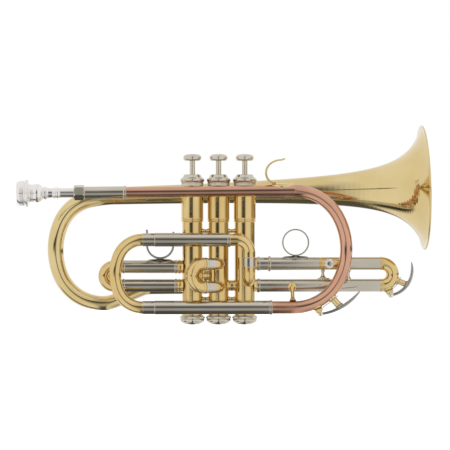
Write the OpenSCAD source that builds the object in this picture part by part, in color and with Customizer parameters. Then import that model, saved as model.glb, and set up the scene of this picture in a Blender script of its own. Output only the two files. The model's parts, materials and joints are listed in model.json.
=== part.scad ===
// Three-valve piston cornet, held level: +X runs along the bell, +Z is up, -Y is the player's right side.
// The origin is on the axis of the middle valve, near the middle of its casing. Millimetres.

/* [Valves] */
// Distance between neighbouring valve axes
valve_pitch = 24.7; // [24:0.1:26]
// Radius of the bore that a piston runs in
valve_bore_r = 8.5; // [8.3:0.05:8.7]
// Outer radius of the lower, slim part of a casing
casing_low_r = 9.5; // [9.4:0.05:9.8]
// Outer radius of the upper, thick part of a casing
casing_up_r = 10.4; // [10.2:0.05:10.8]
// Height of the step between the two parts
casing_step_z = 28; // [20:0.5:32]
// Height at which the top cap sits on the casing
casing_top_z = 60.4; // [58:0.2:61]
// Height at which the bottom cap sits on the casing
casing_bottom_z = -61.4; // [-63:0.2:-60]
// How far a finger button travels
stroke = 12.5; // [10:0.1:12.6]
// Underside of a finger button above the origin
button_z = 84.2; // [84:0.1:86]

/* [Tubes] */
// Plane of the leadpipe, the front bow and the main tuning slide
lead_y = -17; // [-18:0.1:-16.9]
// Plane of the bell and its tail
bell_y = 22.5; // [22.2:0.1:26]
// Wall of the brass tubes
wall = 0.6; // [0.5:0.05:0.7]
// Radial gap between an inner slide leg and its outer tube
leg_gap = 0.05; // [0.03:0.01:0.08]

/* [Leadpipe and bow] */
// Height of the leadpipe where the front bow starts
bow_top_z = 55.9; // [54:0.1:58]
// Height of the lower leg, where the front bow ends
bow_low_z = -53.7; // [-56:0.1:-52]
// X of both ends of the front bow
bow_x = 70.5; // [70:0.1:74]
// How far the front bow bulges forward
bow_reach = 49; // [48:0.1:52]
// Outer radius of the front bow
bow_r = 5.8; // [5.4:0.1:6]
// How far the leadpipe falls towards the mouthpiece, in degrees
lead_tilt = 0.6; // [0:0.1:1]
// Mouthpiece rim, ahead of the bow's start
rim_x = -259.6; // [-262:0.1:-255]

/* [Main tuning slide] */
// Height of the upper tuning leg
tune_up_z = 9.8; // [9:0.1:12]
// X where the crook's straight legs begin
crook_x = -71.6; // [-72:0.1:-70]
// How far the crook bulges back
crook_reach = 25.6; // [25:0.1:27]
// Outer radius of the two fixed tubes
tune_r = 6.4; // [6.3:0.05:6.5]

/* [Bell] */
// Radius of the bell's rim
bell_r = 59.5; // [58:0.1:61]
// Radius that the stem tends to, far from the rim
bell_stem_r = 5; // [4.5:0.1:5.5]
// Distance over which the flare opens
flare_len = 18.6; // [17:0.1:20]
// Distance of the rim ahead of the origin
bell_rim_x = 196.9; // [190:0.1:200]
// Height of the rim's centre
bell_rim_z = 59.3; // [58:0.1:61]
// Upward tilt of the bell's axis, in degrees
bell_tilt = 1.55; // [0:0.05:2]
// Length of the bell along its axis
bell_len = 295.3; // [290:0.1:297]

/* [Hidden] */
$fn = 48;

yellow_brass = "#d6b56b";
rose_brass = "#b98568";
nickel = "#cfcabb";
silver = "#e4e4e6";
steel = "#8e8c88";
cork_brown = "#b08a5e";

cut = 0.5;                       // how far a cutting tool runs past a face
thin = 1e-3;

// ---- small shapes ---------------------------------------------------------------------------

// Ring outline of a tube's wall
module ring2d(r, w) { difference() { circle(r); circle(r - w); } }

// Straight tube along +Z
module pipe(r, w, len) {
    difference() {
        cylinder(r = r, h = len);
        translate([0, 0, -cut]) cylinder(r = r - w, h = len + 2 * cut);
    }
}

// Children, drawn along +Z, laid along +X or -X from a point
module along_x(p) { translate(p) rotate([0, 90, 0]) children(); }
module along_back_x(p) { translate(p) rotate([0, -90, 0]) children(); }

// Tube parallel to X between two X values
module pipe_x(x0, x1, y, z, r, w = wall) { along_x([x0, y, z]) pipe(r, w, x1 - x0); }

// Solid rod parallel to X, for cutting
module rod_x(x0, x1, y, z, r) { along_x([x0, y, z]) cylinder(r = r, h = x1 - x0); }

// Tube bent in a plane parallel to XZ, about (cx, cz), from angle a0 to a1 (0 is +X, 90 is +Z)
module bend_xz(cx, cz, y, bend_r, r, a0, a1, w = wall) {
    translate([cx, y, cz]) rotate([90, 0, 0]) rotate([0, 0, a0])
        rotate_extrude(angle = a1 - a0, $fn = 96) translate([bend_r, 0]) ring2d(r, w);
}

// Tube bent in a plane parallel to XY at height z
module bend_xy(cx, cy, z, bend_r, r, a0, a1, w = wall) {
    translate([cx, cy, z]) rotate([0, 0, a0])
        rotate_extrude(angle = a1 - a0, $fn = 96) translate([bend_r, 0]) ring2d(r, w);
}

// Solid of revolution about +Z from [radius, height] points
module turned(points) { rotate_extrude() polygon(points); }

// Half oval of tube made of three arcs. It bulges to +X (side 1) or -X (side -1) by reach, and its ends
// lie rise above and below cz. end_r is the radius of the two end arcs. Its lower end can run on straight.
module half_oval(cx, cz, y, reach, rise, end_r, r, side = 1, run_on = 0) {
    join = oval_join(reach, rise, end_r);
    bends = [[end_r, join - 90], [oval_side_r(reach, rise, end_r), -2 * join], [end_r, join - 90]];
    arcs = [for (a = bends) [a[0], side * a[1]], if (run_on > 0) [0, run_on]];
    path = path_points(path_steps(arcs), [cx, cz + rise], side > 0 ? 0 : 180);
    swept_tube(path, y, [for (p = path) r]);
}
function oval_side_r(reach, rise, end_r) =
    (reach * reach + (rise - end_r) * (rise - end_r) - end_r * end_r) / (2 * (reach - end_r));
function oval_join(reach, rise, end_r) =
    atan2(rise - end_r, oval_side_r(reach, rise, end_r) - reach);

// Skin of a sweep: loops of n points each, closed end to end (a hollow tube) or capped at both ends
module skin(loops, capped) {
    n = len(loops[0]);
    m = len(loops);
    side_faces = [for (i = [0:(capped ? m - 2 : m - 1)]) for (j = [0:n - 1])
        let (a = i * n + j, b = i * n + (j + 1) % n, c = ((i + 1) % m) * n + (j + 1) % n,
             d = ((i + 1) % m) * n + j)
        for (f = [[a, b, c], [a, c, d]]) f];
    end_faces = capped ? [[for (j = [n - 1:-1:0]) j], [for (j = [0:n - 1]) (m - 1) * n + j]] : [];
    polyhedron(points = [for (l = loops) each l], faces = concat(side_faces, end_faces), convexity = 6);
}

arc_step = 7;                    // largest turn between two rings of a swept tube, in degrees

// Steps of a path of [radius, turn] arcs, or [0, length] straights, as [length, turn]
function path_steps(arcs) = [for (a = arcs)
    let (n = a[0] == 0 ? 2 : ceil(abs(a[1]) / arc_step))
    for (k = [1:n]) a[0] == 0 ? [a[1] / n, 0] : [2 * abs(a[0]) * sin(abs(a[1]) / n / 2), a[1] / n]];
function path_points(steps, p, heading, k = 0) = k > len(steps) - 1 ? [[p[0], p[1], heading]] :
    let (h = heading + steps[k][1] / 2, q = [p[0] + steps[k][0] * cos(h), p[1] + steps[k][0] * sin(h)])
    concat([[p[0], p[1], heading]], path_points(steps, q, heading + steps[k][1], k + 1));

// Loop of points round a path point, in the plane square to its heading
function loop_at(p, r, y, sides) = [for (s = [0:sides - 1]) let (b = 360 * s / sides)
    [p[0] - r * cos(b) * sin(p[2]), y + r * sin(b), p[1] + r * cos(b) * cos(p[2])]];

// Hollow tube along a path, with one outer radius for each of its points
module swept_tube(path, y, radii) {
    sides = 20;
    n = len(path) - 1;
    outer = [for (k = [0:n]) loop_at(path[k], radii[k], y, sides)];
    inner = [for (k = [n:-1:0]) loop_at(path[k], radii[k] - wall, y, sides)];
    skin(concat(outer, inner), false);
}

// ---- layout -------------------------------------------------------------------------------

function valve_x(i) = (i - 2) * valve_pitch;

bow_cz = (bow_top_z + bow_low_z) / 2;
bow_rise = (bow_top_z - bow_low_z) / 2;
bow_end_r = 47;
lower_bow_cz = bow_low_z + bow_end_r;       // centre of the bow's lower end arc

tune_low_z = bow_low_z;
tune_cz = (tune_up_z + tune_low_z) / 2;
tune_rise = (tune_up_z - tune_low_z) / 2;
crook_end_r = 24.3;
crook_tube_r = 5.65;
ferrule_x = -60.4;                          // where the moving ferrules meet the fixed tubes
tune_low_end_x = 49.7;
tune_up_end_x = 10.4;
tune_bore_r = tune_r - wall;                // the inner legs run in this
tune_leg_len = 62;

inlet_x = 28.2;                             // vertical stretch of the third valve inlet
inlet_r = 5.8;
inlet_bend_r = 12;
inlet_elbow_r = 8.4;
inlet_z = -29;
inlet_ferrule_z = [-16, -6.9];

slide_low_z = -33.4;                        // height of all lower slide ports
first_up_z = -15.6;
third_up_z = -12.8;
leg_r = 6;                                  // outer radius of fixed slide tubes
leg_bore_r = leg_r - wall;
inner_r = leg_bore_r - leg_gap;
inner_w = 0.45;

first_cz = (first_up_z + slide_low_z) / 2;
first_half = (first_up_z - slide_low_z) / 2;
first_open_x = -90.8;                       // open end of the first slide's outer tubes
first_crook_x = -98.45;                     // centre of its crook
first_leg_len = 46;

third_cz = (third_up_z + slide_low_z) / 2;
third_half = (third_up_z - slide_low_z) / 2;
third_open_x = 114;                         // open end of the third slide's outer tubes
third_seam_x = 153;
third_crook_x = 154.4;                      // centre of its crook
third_leg_len = 62;
third_crook_r = 6;

second_angle = 205;                         // heading of the second slide, from +X towards -Y
second_up_z = -12.9;
second_low_z = -34.5;
second_cz = (second_up_z + second_low_z) / 2;
second_half = (second_up_z - second_low_z) / 2;
second_elbow_r = 7.5;
second_y = -casing_low_r - 0.6;             // where the elbows straighten into the casing
second_open = 10.6;                         // open end of its outer tubes, along the heading
second_r = 5.5;
second_bore_r = second_r - wall;
second_leg_len = 10;
second_tangent = 270 - second_angle;        // how far the elbow turns into the casing

function bell_radius(d) = bell_stem_r + (bell_r - bell_stem_r) * flare_len / (d + flare_len);
tail_r = [bell_radius(bell_len), 6.2];
tail_arcs = [[116, 11.6], [40, 54], [64, 45], [43, 67.5], [30, 23.4], [0, 27], [-26, -21.5 - bell_tilt]];
tail_elbow_r = 10;
tail_end_x = valve_x(1) - tail_elbow_r;     // where the last elbow starts
tail_start = [bell_rim_x - bell_len * cos(bell_tilt), bell_rim_z - bell_len * sin(bell_tilt)];
tail_bends = path_points(path_steps(tail_arcs), tail_start, 180 + bell_tilt);
tail_z = tail_bends[len(tail_bends) - 1][1];
tail_path = concat(tail_bends, [[tail_end_x, tail_z, 360]]);

ring_x = 72.8;                              // finger ring
ring_r = 12.75;
ring_band = 1.2;
ring_w = 7;
saddle_x = -55.1;                           // thumb saddle
saddle_r = 13.4;
saddle_band = 2;
saddle_w = 12;
foot_t = 1.4;                               // thickness of the foot plates

// ---- leadpipe line: drawn along +X from the bow's start, then tilted ---------------------------

module lead_line() { translate([bow_x, lead_y, bow_top_z]) rotate([0, -lead_tilt, 0]) children(); }

mouth_bore_r = 1.85;
rim_cup_r = 8.2;
receiver_x = rim_x + 53.2;                  // mouth of the receiver
receiver_end_x = receiver_x + 49;
shank_len = 22;
shank_r = [4.35, 3.9];                      // at the receiver's mouth and at the small end

module mouthpiece() {
    tip = receiver_x + shank_len - rim_x;
    outline = [
        [rim_cup_r + 1.4, 0], [10.7, 0.5], [11.5, 2.2], [11.6, 6.6], [11.2, 7.4], [12.3, 8.1], [12.7, 9.4],
        [12.3, 10.6], [8.6, 11.2], [8, 12.4], [8.1, 16], [8.6, 18], [8.5, 20], [7.2, 22.6], [5.3, 24.2],
        [5.3, 25], [5.9, 25.4], [5.9, 27.2], [5.1, 27.6], [5.1, 28.4], [4.5, 29], [4.3, 33.4], [4.9, 34],
        [5, 35.2], [4.6, 35.8], [4.6, 36.6], [5, 37.2], [5, 38.6], [4.5, 39.4], [4.35, 41],
        [shank_r[0], receiver_x - rim_x], [shank_r[1], tip],
        [2.9, tip], [mouth_bore_r, 24], [mouth_bore_r, 12.4], [3, 11.2], [5.6, 9], [7.4, 5.5],
        [rim_cup_r, 1.6]
    ];
    color(silver) lead_line() along_x([rim_x, 0, 0]) turned(outline);
}

module receiver() {
    tube_r = 5.6;
    collar_len = 10;
    color(nickel) lead_line() along_x([receiver_x, 0, 0]) difference() {
        union() {
            intersection() {
                cylinder(r = 7.3, h = collar_len, $fn = 6);
                turned([[0, 0], [6.3, 0], [7.3, 1.2], [7.3, collar_len - 1.2], [6.3, collar_len],
                        [0, collar_len]]);
            }
            translate([0, 0, collar_len]) cylinder(r = tube_r, h = 36.6);
            translate([0, 0, collar_len + 36.6]) cylinder(r = 6.1, h = 2.4);
        }
        turned([[0, -cut], [shank_r[0] + 0.06, -cut], [shank_r[0] + 0.05, 0],
                [shank_r[1] + 0.05, shank_len + 0.2], [4, shank_len + 0.2], [4.3, 50], [0, 50]]);
    }
}

lead_outline = [[4.9, 0], [5.1, 110], [bow_r, -receiver_end_x]];

module leadpipe() {
    inside = [for (k = [2:-1:0]) [lead_outline[k][0] - wall, lead_outline[k][1]]];
    color(rose_brass) lead_line() along_x([receiver_end_x, 0, 0]) turned(concat(lead_outline, inside));
}

// Outer form of the leadpipe, used to cut what is soldered to it
module leadpipe_solid() {
    lead_line() along_x([receiver_end_x, 0, 0])
        turned(concat([[0, 0]], lead_outline, [[0, -receiver_end_x]]));
}

module front_bow() {
    color(rose_brass)
        half_oval(bow_x, bow_cz, lead_y, bow_reach, bow_rise, bow_end_r, bow_r, 1, bow_x - tune_low_end_x);
}

// ---- main tuning slide -----------------------------------------------------------------------

module tuning_outer(x1, z) {
    ring_len = 2.4;
    pipe_x(ferrule_x, x1 - ring_len, lead_y, z, tune_r);
    pipe_x(x1 - ring_len, x1, lead_y, z, tune_r + 0.35, wall + 0.35);
}
module tuning_outer_lower() { color(nickel) tuning_outer(tune_low_end_x, tune_low_z); }
module tuning_outer_upper() { color(nickel) tuning_outer(tune_up_end_x, tune_up_z); }

module tuning_crook() {
    color(yellow_brass)
        half_oval(crook_x, tune_cz, lead_y, crook_reach, tune_rise, crook_end_r, crook_tube_r, -1);
}

module tuning_inner_tubes() {
    leg_outer = tune_bore_r - leg_gap;
    color(nickel) for (z = [tune_up_z, tune_low_z]) {
        difference() {
            union() {
                rod_x(crook_x, ferrule_x, lead_y, z, 6.1);
                rod_x(ferrule_x - thin, ferrule_x + tune_leg_len, lead_y, z, leg_outer);
            }
            rod_x(crook_x - cut, ferrule_x + tune_leg_len + cut, lead_y, z, leg_outer - inner_w);
        }
    }
}

// ---- third valve inlet -------------------------------------------------------------------------

module valve_inlet_elbow() {
    bend_x = inlet_x - inlet_bend_r;
    color(yellow_brass) {
        pipe_x(tune_up_end_x, bend_x, lead_y, tune_up_z, inlet_r);
        bend_xz(bend_x, tune_up_z - inlet_bend_r, lead_y, inlet_bend_r, inlet_r, 0, 90);
        translate([inlet_x, lead_y, inlet_ferrule_z[1]])
            pipe(inlet_r, wall, tune_up_z - inlet_bend_r - inlet_ferrule_z[1]);
        difference() {
            union() {
                translate([inlet_x, lead_y, inlet_z + inlet_elbow_r])
                    cylinder(r = inlet_r, h = inlet_ferrule_z[0] - inlet_z - inlet_elbow_r);
                translate([inlet_x, lead_y + inlet_elbow_r, inlet_z + inlet_elbow_r])
                    rotate([90, 0, 90]) rotate([0, 0, 180])
                        rotate_extrude(angle = 90, $fn = 96) translate([inlet_elbow_r, 0]) circle(inlet_r);
                translate([inlet_x, lead_y + inlet_elbow_r, inlet_z]) rotate([-90, 0, 0])
                    cylinder(r = inlet_r, h = -lead_y - inlet_elbow_r);
            }
            translate([inlet_x, lead_y, inlet_z + inlet_elbow_r])
                cylinder(r = inlet_r - wall, h = inlet_ferrule_z[0] - inlet_z - inlet_elbow_r + cut);
            translate([inlet_x, lead_y + inlet_elbow_r, inlet_z + inlet_elbow_r])
                rotate([90, 0, 90]) rotate([0, 0, 180])
                    rotate_extrude(angle = 90, $fn = 96) translate([inlet_elbow_r, 0]) circle(inlet_r - wall);
            translate([inlet_x, lead_y + inlet_elbow_r, inlet_z]) rotate([-90, 0, 0])
                cylinder(r = inlet_r - wall, h = -lead_y);
            casing_solid(3);
            rod_x(valve_x(3), lock_x, 0, slide_low_z, leg_r);
        }
    }
}

module inlet_ferrule() {
    color(nickel) translate([inlet_x, lead_y, inlet_ferrule_z[0]])
        pipe(inlet_r + 0.5, wall + 0.5, inlet_ferrule_z[1] - inlet_ferrule_z[0]);
}

// ---- valves ----------------------------------------------------------------------------------

thread_r = 9.1;                             // threaded ends that the caps screw onto
thread_len = 3.6;
cap_top_z = 71.3;
cap_low_z = -70.3;
piston_low_z = -44;
piston_high_z = 24;
barrel_high_z = 52;
piston_r = valve_bore_r - leg_gap;
stem_r = 2.6;
cap_floor_z = -67.6;

// Each port: valve number, offset along the port's side, height, direction, radius
ports = [
    [1, 0, first_up_z, 180, leg_bore_r], [1, 0, slide_low_z, 180, leg_bore_r],
    [1, 0, tail_z, 90, tail_r[1] - wall],
    [1, 0, -24, 0, 4.4], [2, 0, -24, 180, 4.4], [2, 0, second_up_z, 270, second_bore_r],
    [2, 0, second_low_z, 270, second_bore_r], [2, 0, slide_low_z, 0, 4.4], [3, 0, slide_low_z, 180, 4.4],
    [3, inlet_x - valve_pitch, inlet_z, 270, 5.2], [3, 0, third_up_z, 0, leg_bore_r],
    [3, 0, slide_low_z, 0, leg_bore_r]
];

// Outer form of a casing, also used to cut the tubes that meet it
module casing_solid(i) {
    translate([valve_x(i), 0, casing_bottom_z])
        cylinder(r = casing_low_r, h = casing_top_z - casing_bottom_z);
}

// The same for its wide upper part
module casing_wide(i) {
    translate([valve_x(i), 0, casing_step_z + 2])
        cylinder(r = casing_up_r, h = casing_top_z - casing_step_z - 2);
}

module casing(i) {
    top_end = casing_top_z + thread_len + 1;
    color(yellow_brass) difference() {
        translate([valve_x(i), 0, 0]) turned([
            [0, casing_bottom_z - thread_len], [thread_r, casing_bottom_z - thread_len],
            [thread_r, casing_bottom_z], [casing_low_r, casing_bottom_z],
            [casing_low_r, casing_step_z - 1.4], [casing_up_r + 0.2, casing_step_z - 1.2],
            [casing_up_r + 0.2, casing_step_z - 0.4], [casing_up_r - 0.2, casing_step_z],
            [casing_up_r - 0.2, casing_step_z + 0.6], [casing_up_r + 0.2, casing_step_z + 0.8],
            [casing_up_r + 0.2, casing_step_z + 1.6], [casing_up_r, casing_step_z + 1.8],
            [casing_up_r, casing_top_z], [thread_r + 0.5, casing_top_z], [thread_r + 0.5, top_end],
            [0, top_end]]);
        translate([valve_x(i), 0, casing_bottom_z - 5]) cylinder(r = valve_bore_r, h = 140);
        for (p = ports) if (p[0] == i)
            translate([valve_x(i) + p[1], 0, p[2]]) rotate([0, 0, p[3]]) rotate([0, 90, 0])
                cylinder(r = p[4], h = 12);
    }
}

module top_cap(i) {
    color(nickel) translate([valve_x(i), 0, 0]) turned([
        [thread_r + 0.5, casing_top_z], [10.4, casing_top_z], [10.4, 64.3], [10.9, 64.5], [11.35, 65.4],
        [11.35, 66.6], [10.9, 67.4], [9.8, 68], [8.9, 68.9], [8.2, 70.2], [7.7, cap_top_z - 0.3],
        [7.4, cap_top_z],
        [stem_r + 0.35, cap_top_z], [stem_r + 0.35, 69], [8.4, 69], [8.4, 66], [thread_r + 0.5, 65.2]]);
}

module bottom_caps() {
    color(nickel) for (i = [1:3]) translate([valve_x(i), 0, 0]) turned([
        [thread_r, casing_bottom_z], [10.6, casing_bottom_z], [11.1, -61.8], [11.1, -62.4], [11.8, -62.6],
        [11.8, -64.4], [11.4, -64.6], [11.4, -65], [11.6, -65.3], [11.5, -66.4], [10.8, -67.6], [9.2, -68.8],
        [6.5, -69.8], [3.4, cap_low_z], [2.4, cap_low_z], [1.6, cap_low_z + 0.6], [1.6, cap_floor_z],
        [8.2, cap_floor_z], [8.2, -65.4], [thread_r, -65.2]]);
}

module piston(i) {
    deck = 1.2;
    passage_r = 4.4;
    passages = [[-16, 0], [slide_low_z, 0], [-25, 60]];
    color(nickel) translate([valve_x(i), 0, 0]) difference() {
        union() {
            translate([0, 0, piston_low_z]) cylinder(r = piston_r, h = piston_high_z - piston_low_z);
            translate([0, 0, piston_high_z - thin]) cylinder(r = 6.5, h = barrel_high_z - piston_high_z);
        }
        difference() {
            translate([0, 0, piston_low_z + deck])
                cylinder(r = piston_r - wall, h = piston_high_z - piston_low_z - 2 * deck);
            for (p = passages) translate([0, 0, p[0]]) rotate([0, 90, p[1]])
                cylinder(r = passage_r + wall, h = 4 * piston_r, center = true);
        }
        for (p = passages) translate([0, 0, p[0]]) rotate([0, 90, p[1]])
            cylinder(r = passage_r, h = 4 * piston_r, center = true);
        translate([0, 0, piston_high_z + deck])
            cylinder(r = 5.7, h = barrel_high_z - piston_high_z - 2 * deck);
    }
}

module stem(i) {
    collar_z = 65.6;
    color(nickel) translate([valve_x(i), 0, 0]) {
        translate([0, 0, barrel_high_z]) cylinder(r = stem_r, h = button_z - barrel_high_z);
        translate([0, 0, collar_z]) cylinder(r = 6.6, h = 3.2);
    }
}

module button(i) {
    color(nickel) translate([valve_x(i), 0, button_z]) turned([
        [0, 0], [6.5, 0], [7.6, 0.4], [8.3, 1.3], [8.55, 2.5], [8.5, 3.6], [8.1, 4.7], [7.4, 5.5],
        [6.2, 6], [4, 6.4], [0, 6.6]]);
}

// Round wire wound along +Z
module coil(r, wire_r, turns, height) {
    steps = 14;
    sides = 6;
    loops = [for (k = [0:turns * steps])
        let (a = 360 * k / steps, z = height * k / (turns * steps))
        [for (s = [0:sides - 1]) let (b = 360 * s / sides, q = r + wire_r * cos(b))
            [q * cos(a), q * sin(a), z + wire_r * sin(b)]]];
    skin([for (l = loops) [for (j = [sides - 1:-1:0]) l[j]]], true);
}

module spring(i) {
    wire_r = 0.45;
    color(steel) translate([valve_x(i), 0, cap_floor_z + wire_r + 0.05])
        coil(6.6, wire_r, 6, piston_low_z - cap_floor_z - 2 * wire_r - 0.1);
}

module casing_braces() {
    color(yellow_brass) difference() {
        for (i = [1, 2]) for (z = [18, -46])
            translate([valve_x(i) + valve_pitch / 2 - 4.5, -1.8, z - 1.8]) cube([9, 3.6, 3.6]);
        for (i = [1:3]) casing_solid(i);
    }
}

module valve_cross_tubes() {
    color(yellow_brass) difference() {
        for (p = [[1, -24], [2, slide_low_z]])
            rod_x(valve_x(p[0]), valve_x(p[0] + 1), 0, p[1], 5);
        for (p = [[1, -24], [2, slide_low_z]])
            rod_x(valve_x(p[0]), valve_x(p[0] + 1), 0, p[1], 4.4);
        for (i = [1:3]) casing_solid(i);
    }
}

// ---- first slide, towards -X -------------------------------------------------------------------

module first_slide_outer() {
    seam_x = -39.2;
    color(nickel) difference() {
        for (z = [first_up_z, slide_low_z]) {
            rod_x(first_open_x, seam_x, 0, z, leg_r);
            rod_x(seam_x - thin, valve_x(1), 0, z, leg_r - 0.1);
            rod_x(seam_x - 2, seam_x, 0, z, leg_r + 0.5);
            rod_x(first_open_x, first_open_x + 2.2, 0, z, leg_r + 0.4);
        }
        for (z = [first_up_z, slide_low_z]) rod_x(first_open_x - cut, valve_x(1), 0, z, leg_bore_r);
        casing_solid(1);
    }
}

module first_slide_inner() {
    color(nickel) for (z = [first_up_z, slide_low_z])
        pipe_x(first_open_x - 0.1, first_open_x + first_leg_len, 0, z, inner_r, inner_w);
}

module first_slide_crook() {
    color(yellow_brass) {
        bend_xz(first_crook_x, first_cz, 0, first_half, leg_r - 0.1, 90, 270);
        for (z = [first_up_z, slide_low_z]) pipe_x(first_crook_x, first_open_x - 0.1, 0, z, leg_r - 0.1);
    }
}

// Foot plate that rests on a leg whose top is at top_z: flat above, curved below by the cut in its caller
module foot(x0, x1, top_z, w) { translate([x0, -w / 2, top_z - 2.4]) cube([x1 - x0, w, 2.4 + foot_t]); }

module thumb_saddle() {
    leg_top = first_up_z + leg_r;
    base_z = leg_top + foot_t;
    cz = base_z + saddle_r - 0.4;
    arm = 12.5;
    color(nickel) difference() {
        union() {
            translate([saddle_x, saddle_w / 2, cz]) rotate([90, 0, 0]) linear_extrude(saddle_w) {
                intersection() { ring2d(saddle_r, saddle_band); translate([-20, -40]) square([40, 40]); }
                translate([-saddle_r, 0]) square([saddle_band, arm + 2]);
                translate([saddle_r - saddle_band, 0]) square([saddle_band, arm]);
            }
            foot(saddle_x - 12, saddle_x + 12, leg_top, 7);
        }
        rod_x(saddle_x - 20, saddle_x + 20, 0, first_up_z, leg_r);
    }
}

// ---- second slide, towards -X and a little towards -Y -------------------------------------------

// Children drawn along +X in a frame whose X is the slide's heading and whose origin is where its
// straight tubes meet the elbows
module second_line() {
    start = [-second_elbow_r * (1 - cos(second_tangent)), second_y - second_elbow_r * sin(second_tangent), 0];
    translate(start) rotate([0, 0, second_angle]) children();
}

module second_elbow(z, r) {
    translate([-second_elbow_r, second_y, z]) rotate([0, 0, -second_tangent])
        rotate_extrude(angle = second_tangent, $fn = 96) translate([second_elbow_r, 0]) circle(r);
    translate([0, second_y, z]) rotate([-90, 0, 0]) cylinder(r = r, h = casing_low_r);
}

module second_slide_elbows() {
    color(yellow_brass) for (z = [second_up_z, second_low_z]) difference() {
        second_elbow(z, second_r);
        second_elbow(z, second_bore_r);
        casing_solid(2);
    }
}

module second_slide_outer() {
    color(nickel) second_line() for (z = [second_up_z, second_low_z]) difference() {
        union() {
            rod_x(0, second_open, 0, z, second_r);
            rod_x(second_open - 2.4, second_open, 0, z, second_r + 0.6);
        }
        rod_x(-cut, second_open + cut, 0, z, second_bore_r);
    }
}

module second_slide_inner() {
    color(nickel) second_line() for (z = [second_up_z, second_low_z])
        pipe_x(second_open - second_leg_len, second_open + 0.1, 0, z, second_bore_r - leg_gap, inner_w);
}

module second_slide_crook() {
    start = second_open + 0.1;
    color(yellow_brass) second_line() {
        for (z = [second_up_z, second_low_z]) {
            pipe_x(start, start + 2.2, 0, z, second_r + 0.5, wall + 0.5);
        }
        bend_xz(start + 2.2, second_cz, 0, second_half, second_r - 0.1, -90, 90);
    }
}

// Finial, bar and pull ball in one, on the middle of the crook
module second_slide_knob() {
    start = second_open + 0.1;
    bar = 2;
    color(yellow_brass) second_line() difference() {
        union() {
            translate([start + 0.1, -1.5, second_cz - 6]) cube([bar, 3, 12]);
            along_x([start + bar, 0, second_cz]) turned([[0, -6.2], [1.4, -6.2], [2.4, -5.8], [2.4, -4.8],
                [1.8, -4.4], [1.8, -3.8], [2.6, -3.4], [2.6, -2], [2, -1.6], [2, 0.4], [2.7, 0.9],
                [3.3, 2.1], [3.3, 2.8], [2.7, 4], [1.5, 4.9], [0, 5.2]]);
        }
        for (z = [second_up_z, second_low_z]) rod_x(0, 40, 0, z, second_r + 0.5);
    }
}

// ---- third slide, towards +X ---------------------------------------------------------------------

lock_x = 104;
boss_r = 3;
boss_y = -8.2;                              // face of the lock screw's boss
lock_thread_r = 1.6;

module third_slide_outer() {
    color(nickel) difference() {
        union() {
            for (z = [third_up_z, slide_low_z]) {
                rod_x(valve_x(3), third_open_x, 0, z, leg_r);
                rod_x(36.3, 39.1, 0, z, leg_r + 0.5);
            }
            rod_x(46.9, 49.2, 0, third_up_z, leg_r + 1.2);
            translate([lock_x, -leg_r + 1, third_up_z]) rotate([90, 0, 0])
                cylinder(r = boss_r, h = -boss_y - leg_r + 1);
        }
        for (z = [third_up_z, slide_low_z]) rod_x(valve_x(3), third_open_x + cut, 0, z, leg_bore_r);
        translate([lock_x, -leg_r + 3, third_up_z]) rotate([90, 0, 0])
            cylinder(r = lock_thread_r + 0.05, h = 10);
        casing_solid(3);
    }
}

module lock_screw() {
    head_r = 4.7;
    color(silver) translate([lock_x, boss_y, third_up_z]) rotate([90, 0, 0]) {
        translate([0, 0, -1.9]) cylinder(r = lock_thread_r, h = 2.1);
        turned([[0, 0.05], [head_r - 0.6, 0.05], [head_r, 0.6], [head_r, 2.2], [head_r - 0.6, 2.8],
                [2.2, 2.8], [1.8, 2.2], [0, 2.2]]);
    }
}

module third_slide_inner() {
    color(nickel) for (z = [third_up_z, slide_low_z])
        pipe_x(third_open_x - third_leg_len, third_open_x + 0.1, 0, z, inner_r, inner_w);
}

module third_slide_moving_tubes() {
    color(nickel) for (z = [third_up_z, slide_low_z])
        pipe_x(third_open_x + 0.1, third_seam_x, 0, z, leg_r, leg_r - inner_r + inner_w);
}

module third_slide_crook() {
    color(yellow_brass) {
        for (z = [third_up_z, slide_low_z])
            pipe_x(third_seam_x, third_crook_x, 0, z, leg_r + 0.4, wall + 0.4);
        bend_xz(third_crook_x, third_cz, 0, third_half, third_crook_r, -90, 90);
    }
}

brace_span = 2 * (third_half - leg_r) + 4;  // from inside one leg of the third slide to inside the other

// Upright brace between the two legs of the third slide, turned to an outline that starts at the lower leg
module leg_brace(x, outline) {
    difference() {
        translate([x, 0, third_cz - brace_span / 2]) turned(outline);
        for (z = [third_up_z, slide_low_z]) rod_x(x - 10, x + 10, 0, z, leg_r);
    }
}
module third_slide_moving_brace() {
    color(nickel) leg_brace(122, [[0, 0], [4, 0], [4, 2.6], [2.4, 4], [1.9, 6], [1.9, brace_span - 6],
        [2.4, brace_span - 4], [4, brace_span - 2.6], [4, brace_span], [0, brace_span]]);
}

// Slim post on a long foot plate
module third_slide_fixed_brace() {
    leg_brace(98.6, [[0, 0], [3.6, 0], [3.6, 2.8], [2, 4], [1.3, 5.6], [1.3, brace_span - 3.2],
        [1.9, brace_span - 2.6], [1.9, brace_span], [0, brace_span]]);
    difference() {
        translate([93, -2.5, slide_low_z + leg_r - 1]) cube([13, 5, 2.2]);
        rod_x(90, 110, 0, slide_low_z, leg_r);
    }
}

module finger_ring() {
    leg_top = third_up_z + leg_r;
    cz = leg_top + foot_t + ring_r - 0.2;
    color(nickel) difference() {
        union() {
            translate([ring_x, ring_w / 2, cz]) rotate([90, 0, 0]) linear_extrude(ring_w) circle(ring_r);
            foot(ring_x - 12.5, ring_x + 12.5, leg_top, 7);
        }
        translate([ring_x, 10, cz]) rotate([90, 0, 0]) cylinder(r = ring_r - ring_band, h = 20);
        rod_x(ring_x - 20, ring_x + 20, 0, third_up_z, leg_r);
    }
}

// ---- bell ----------------------------------------------------------------------------------------

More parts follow.
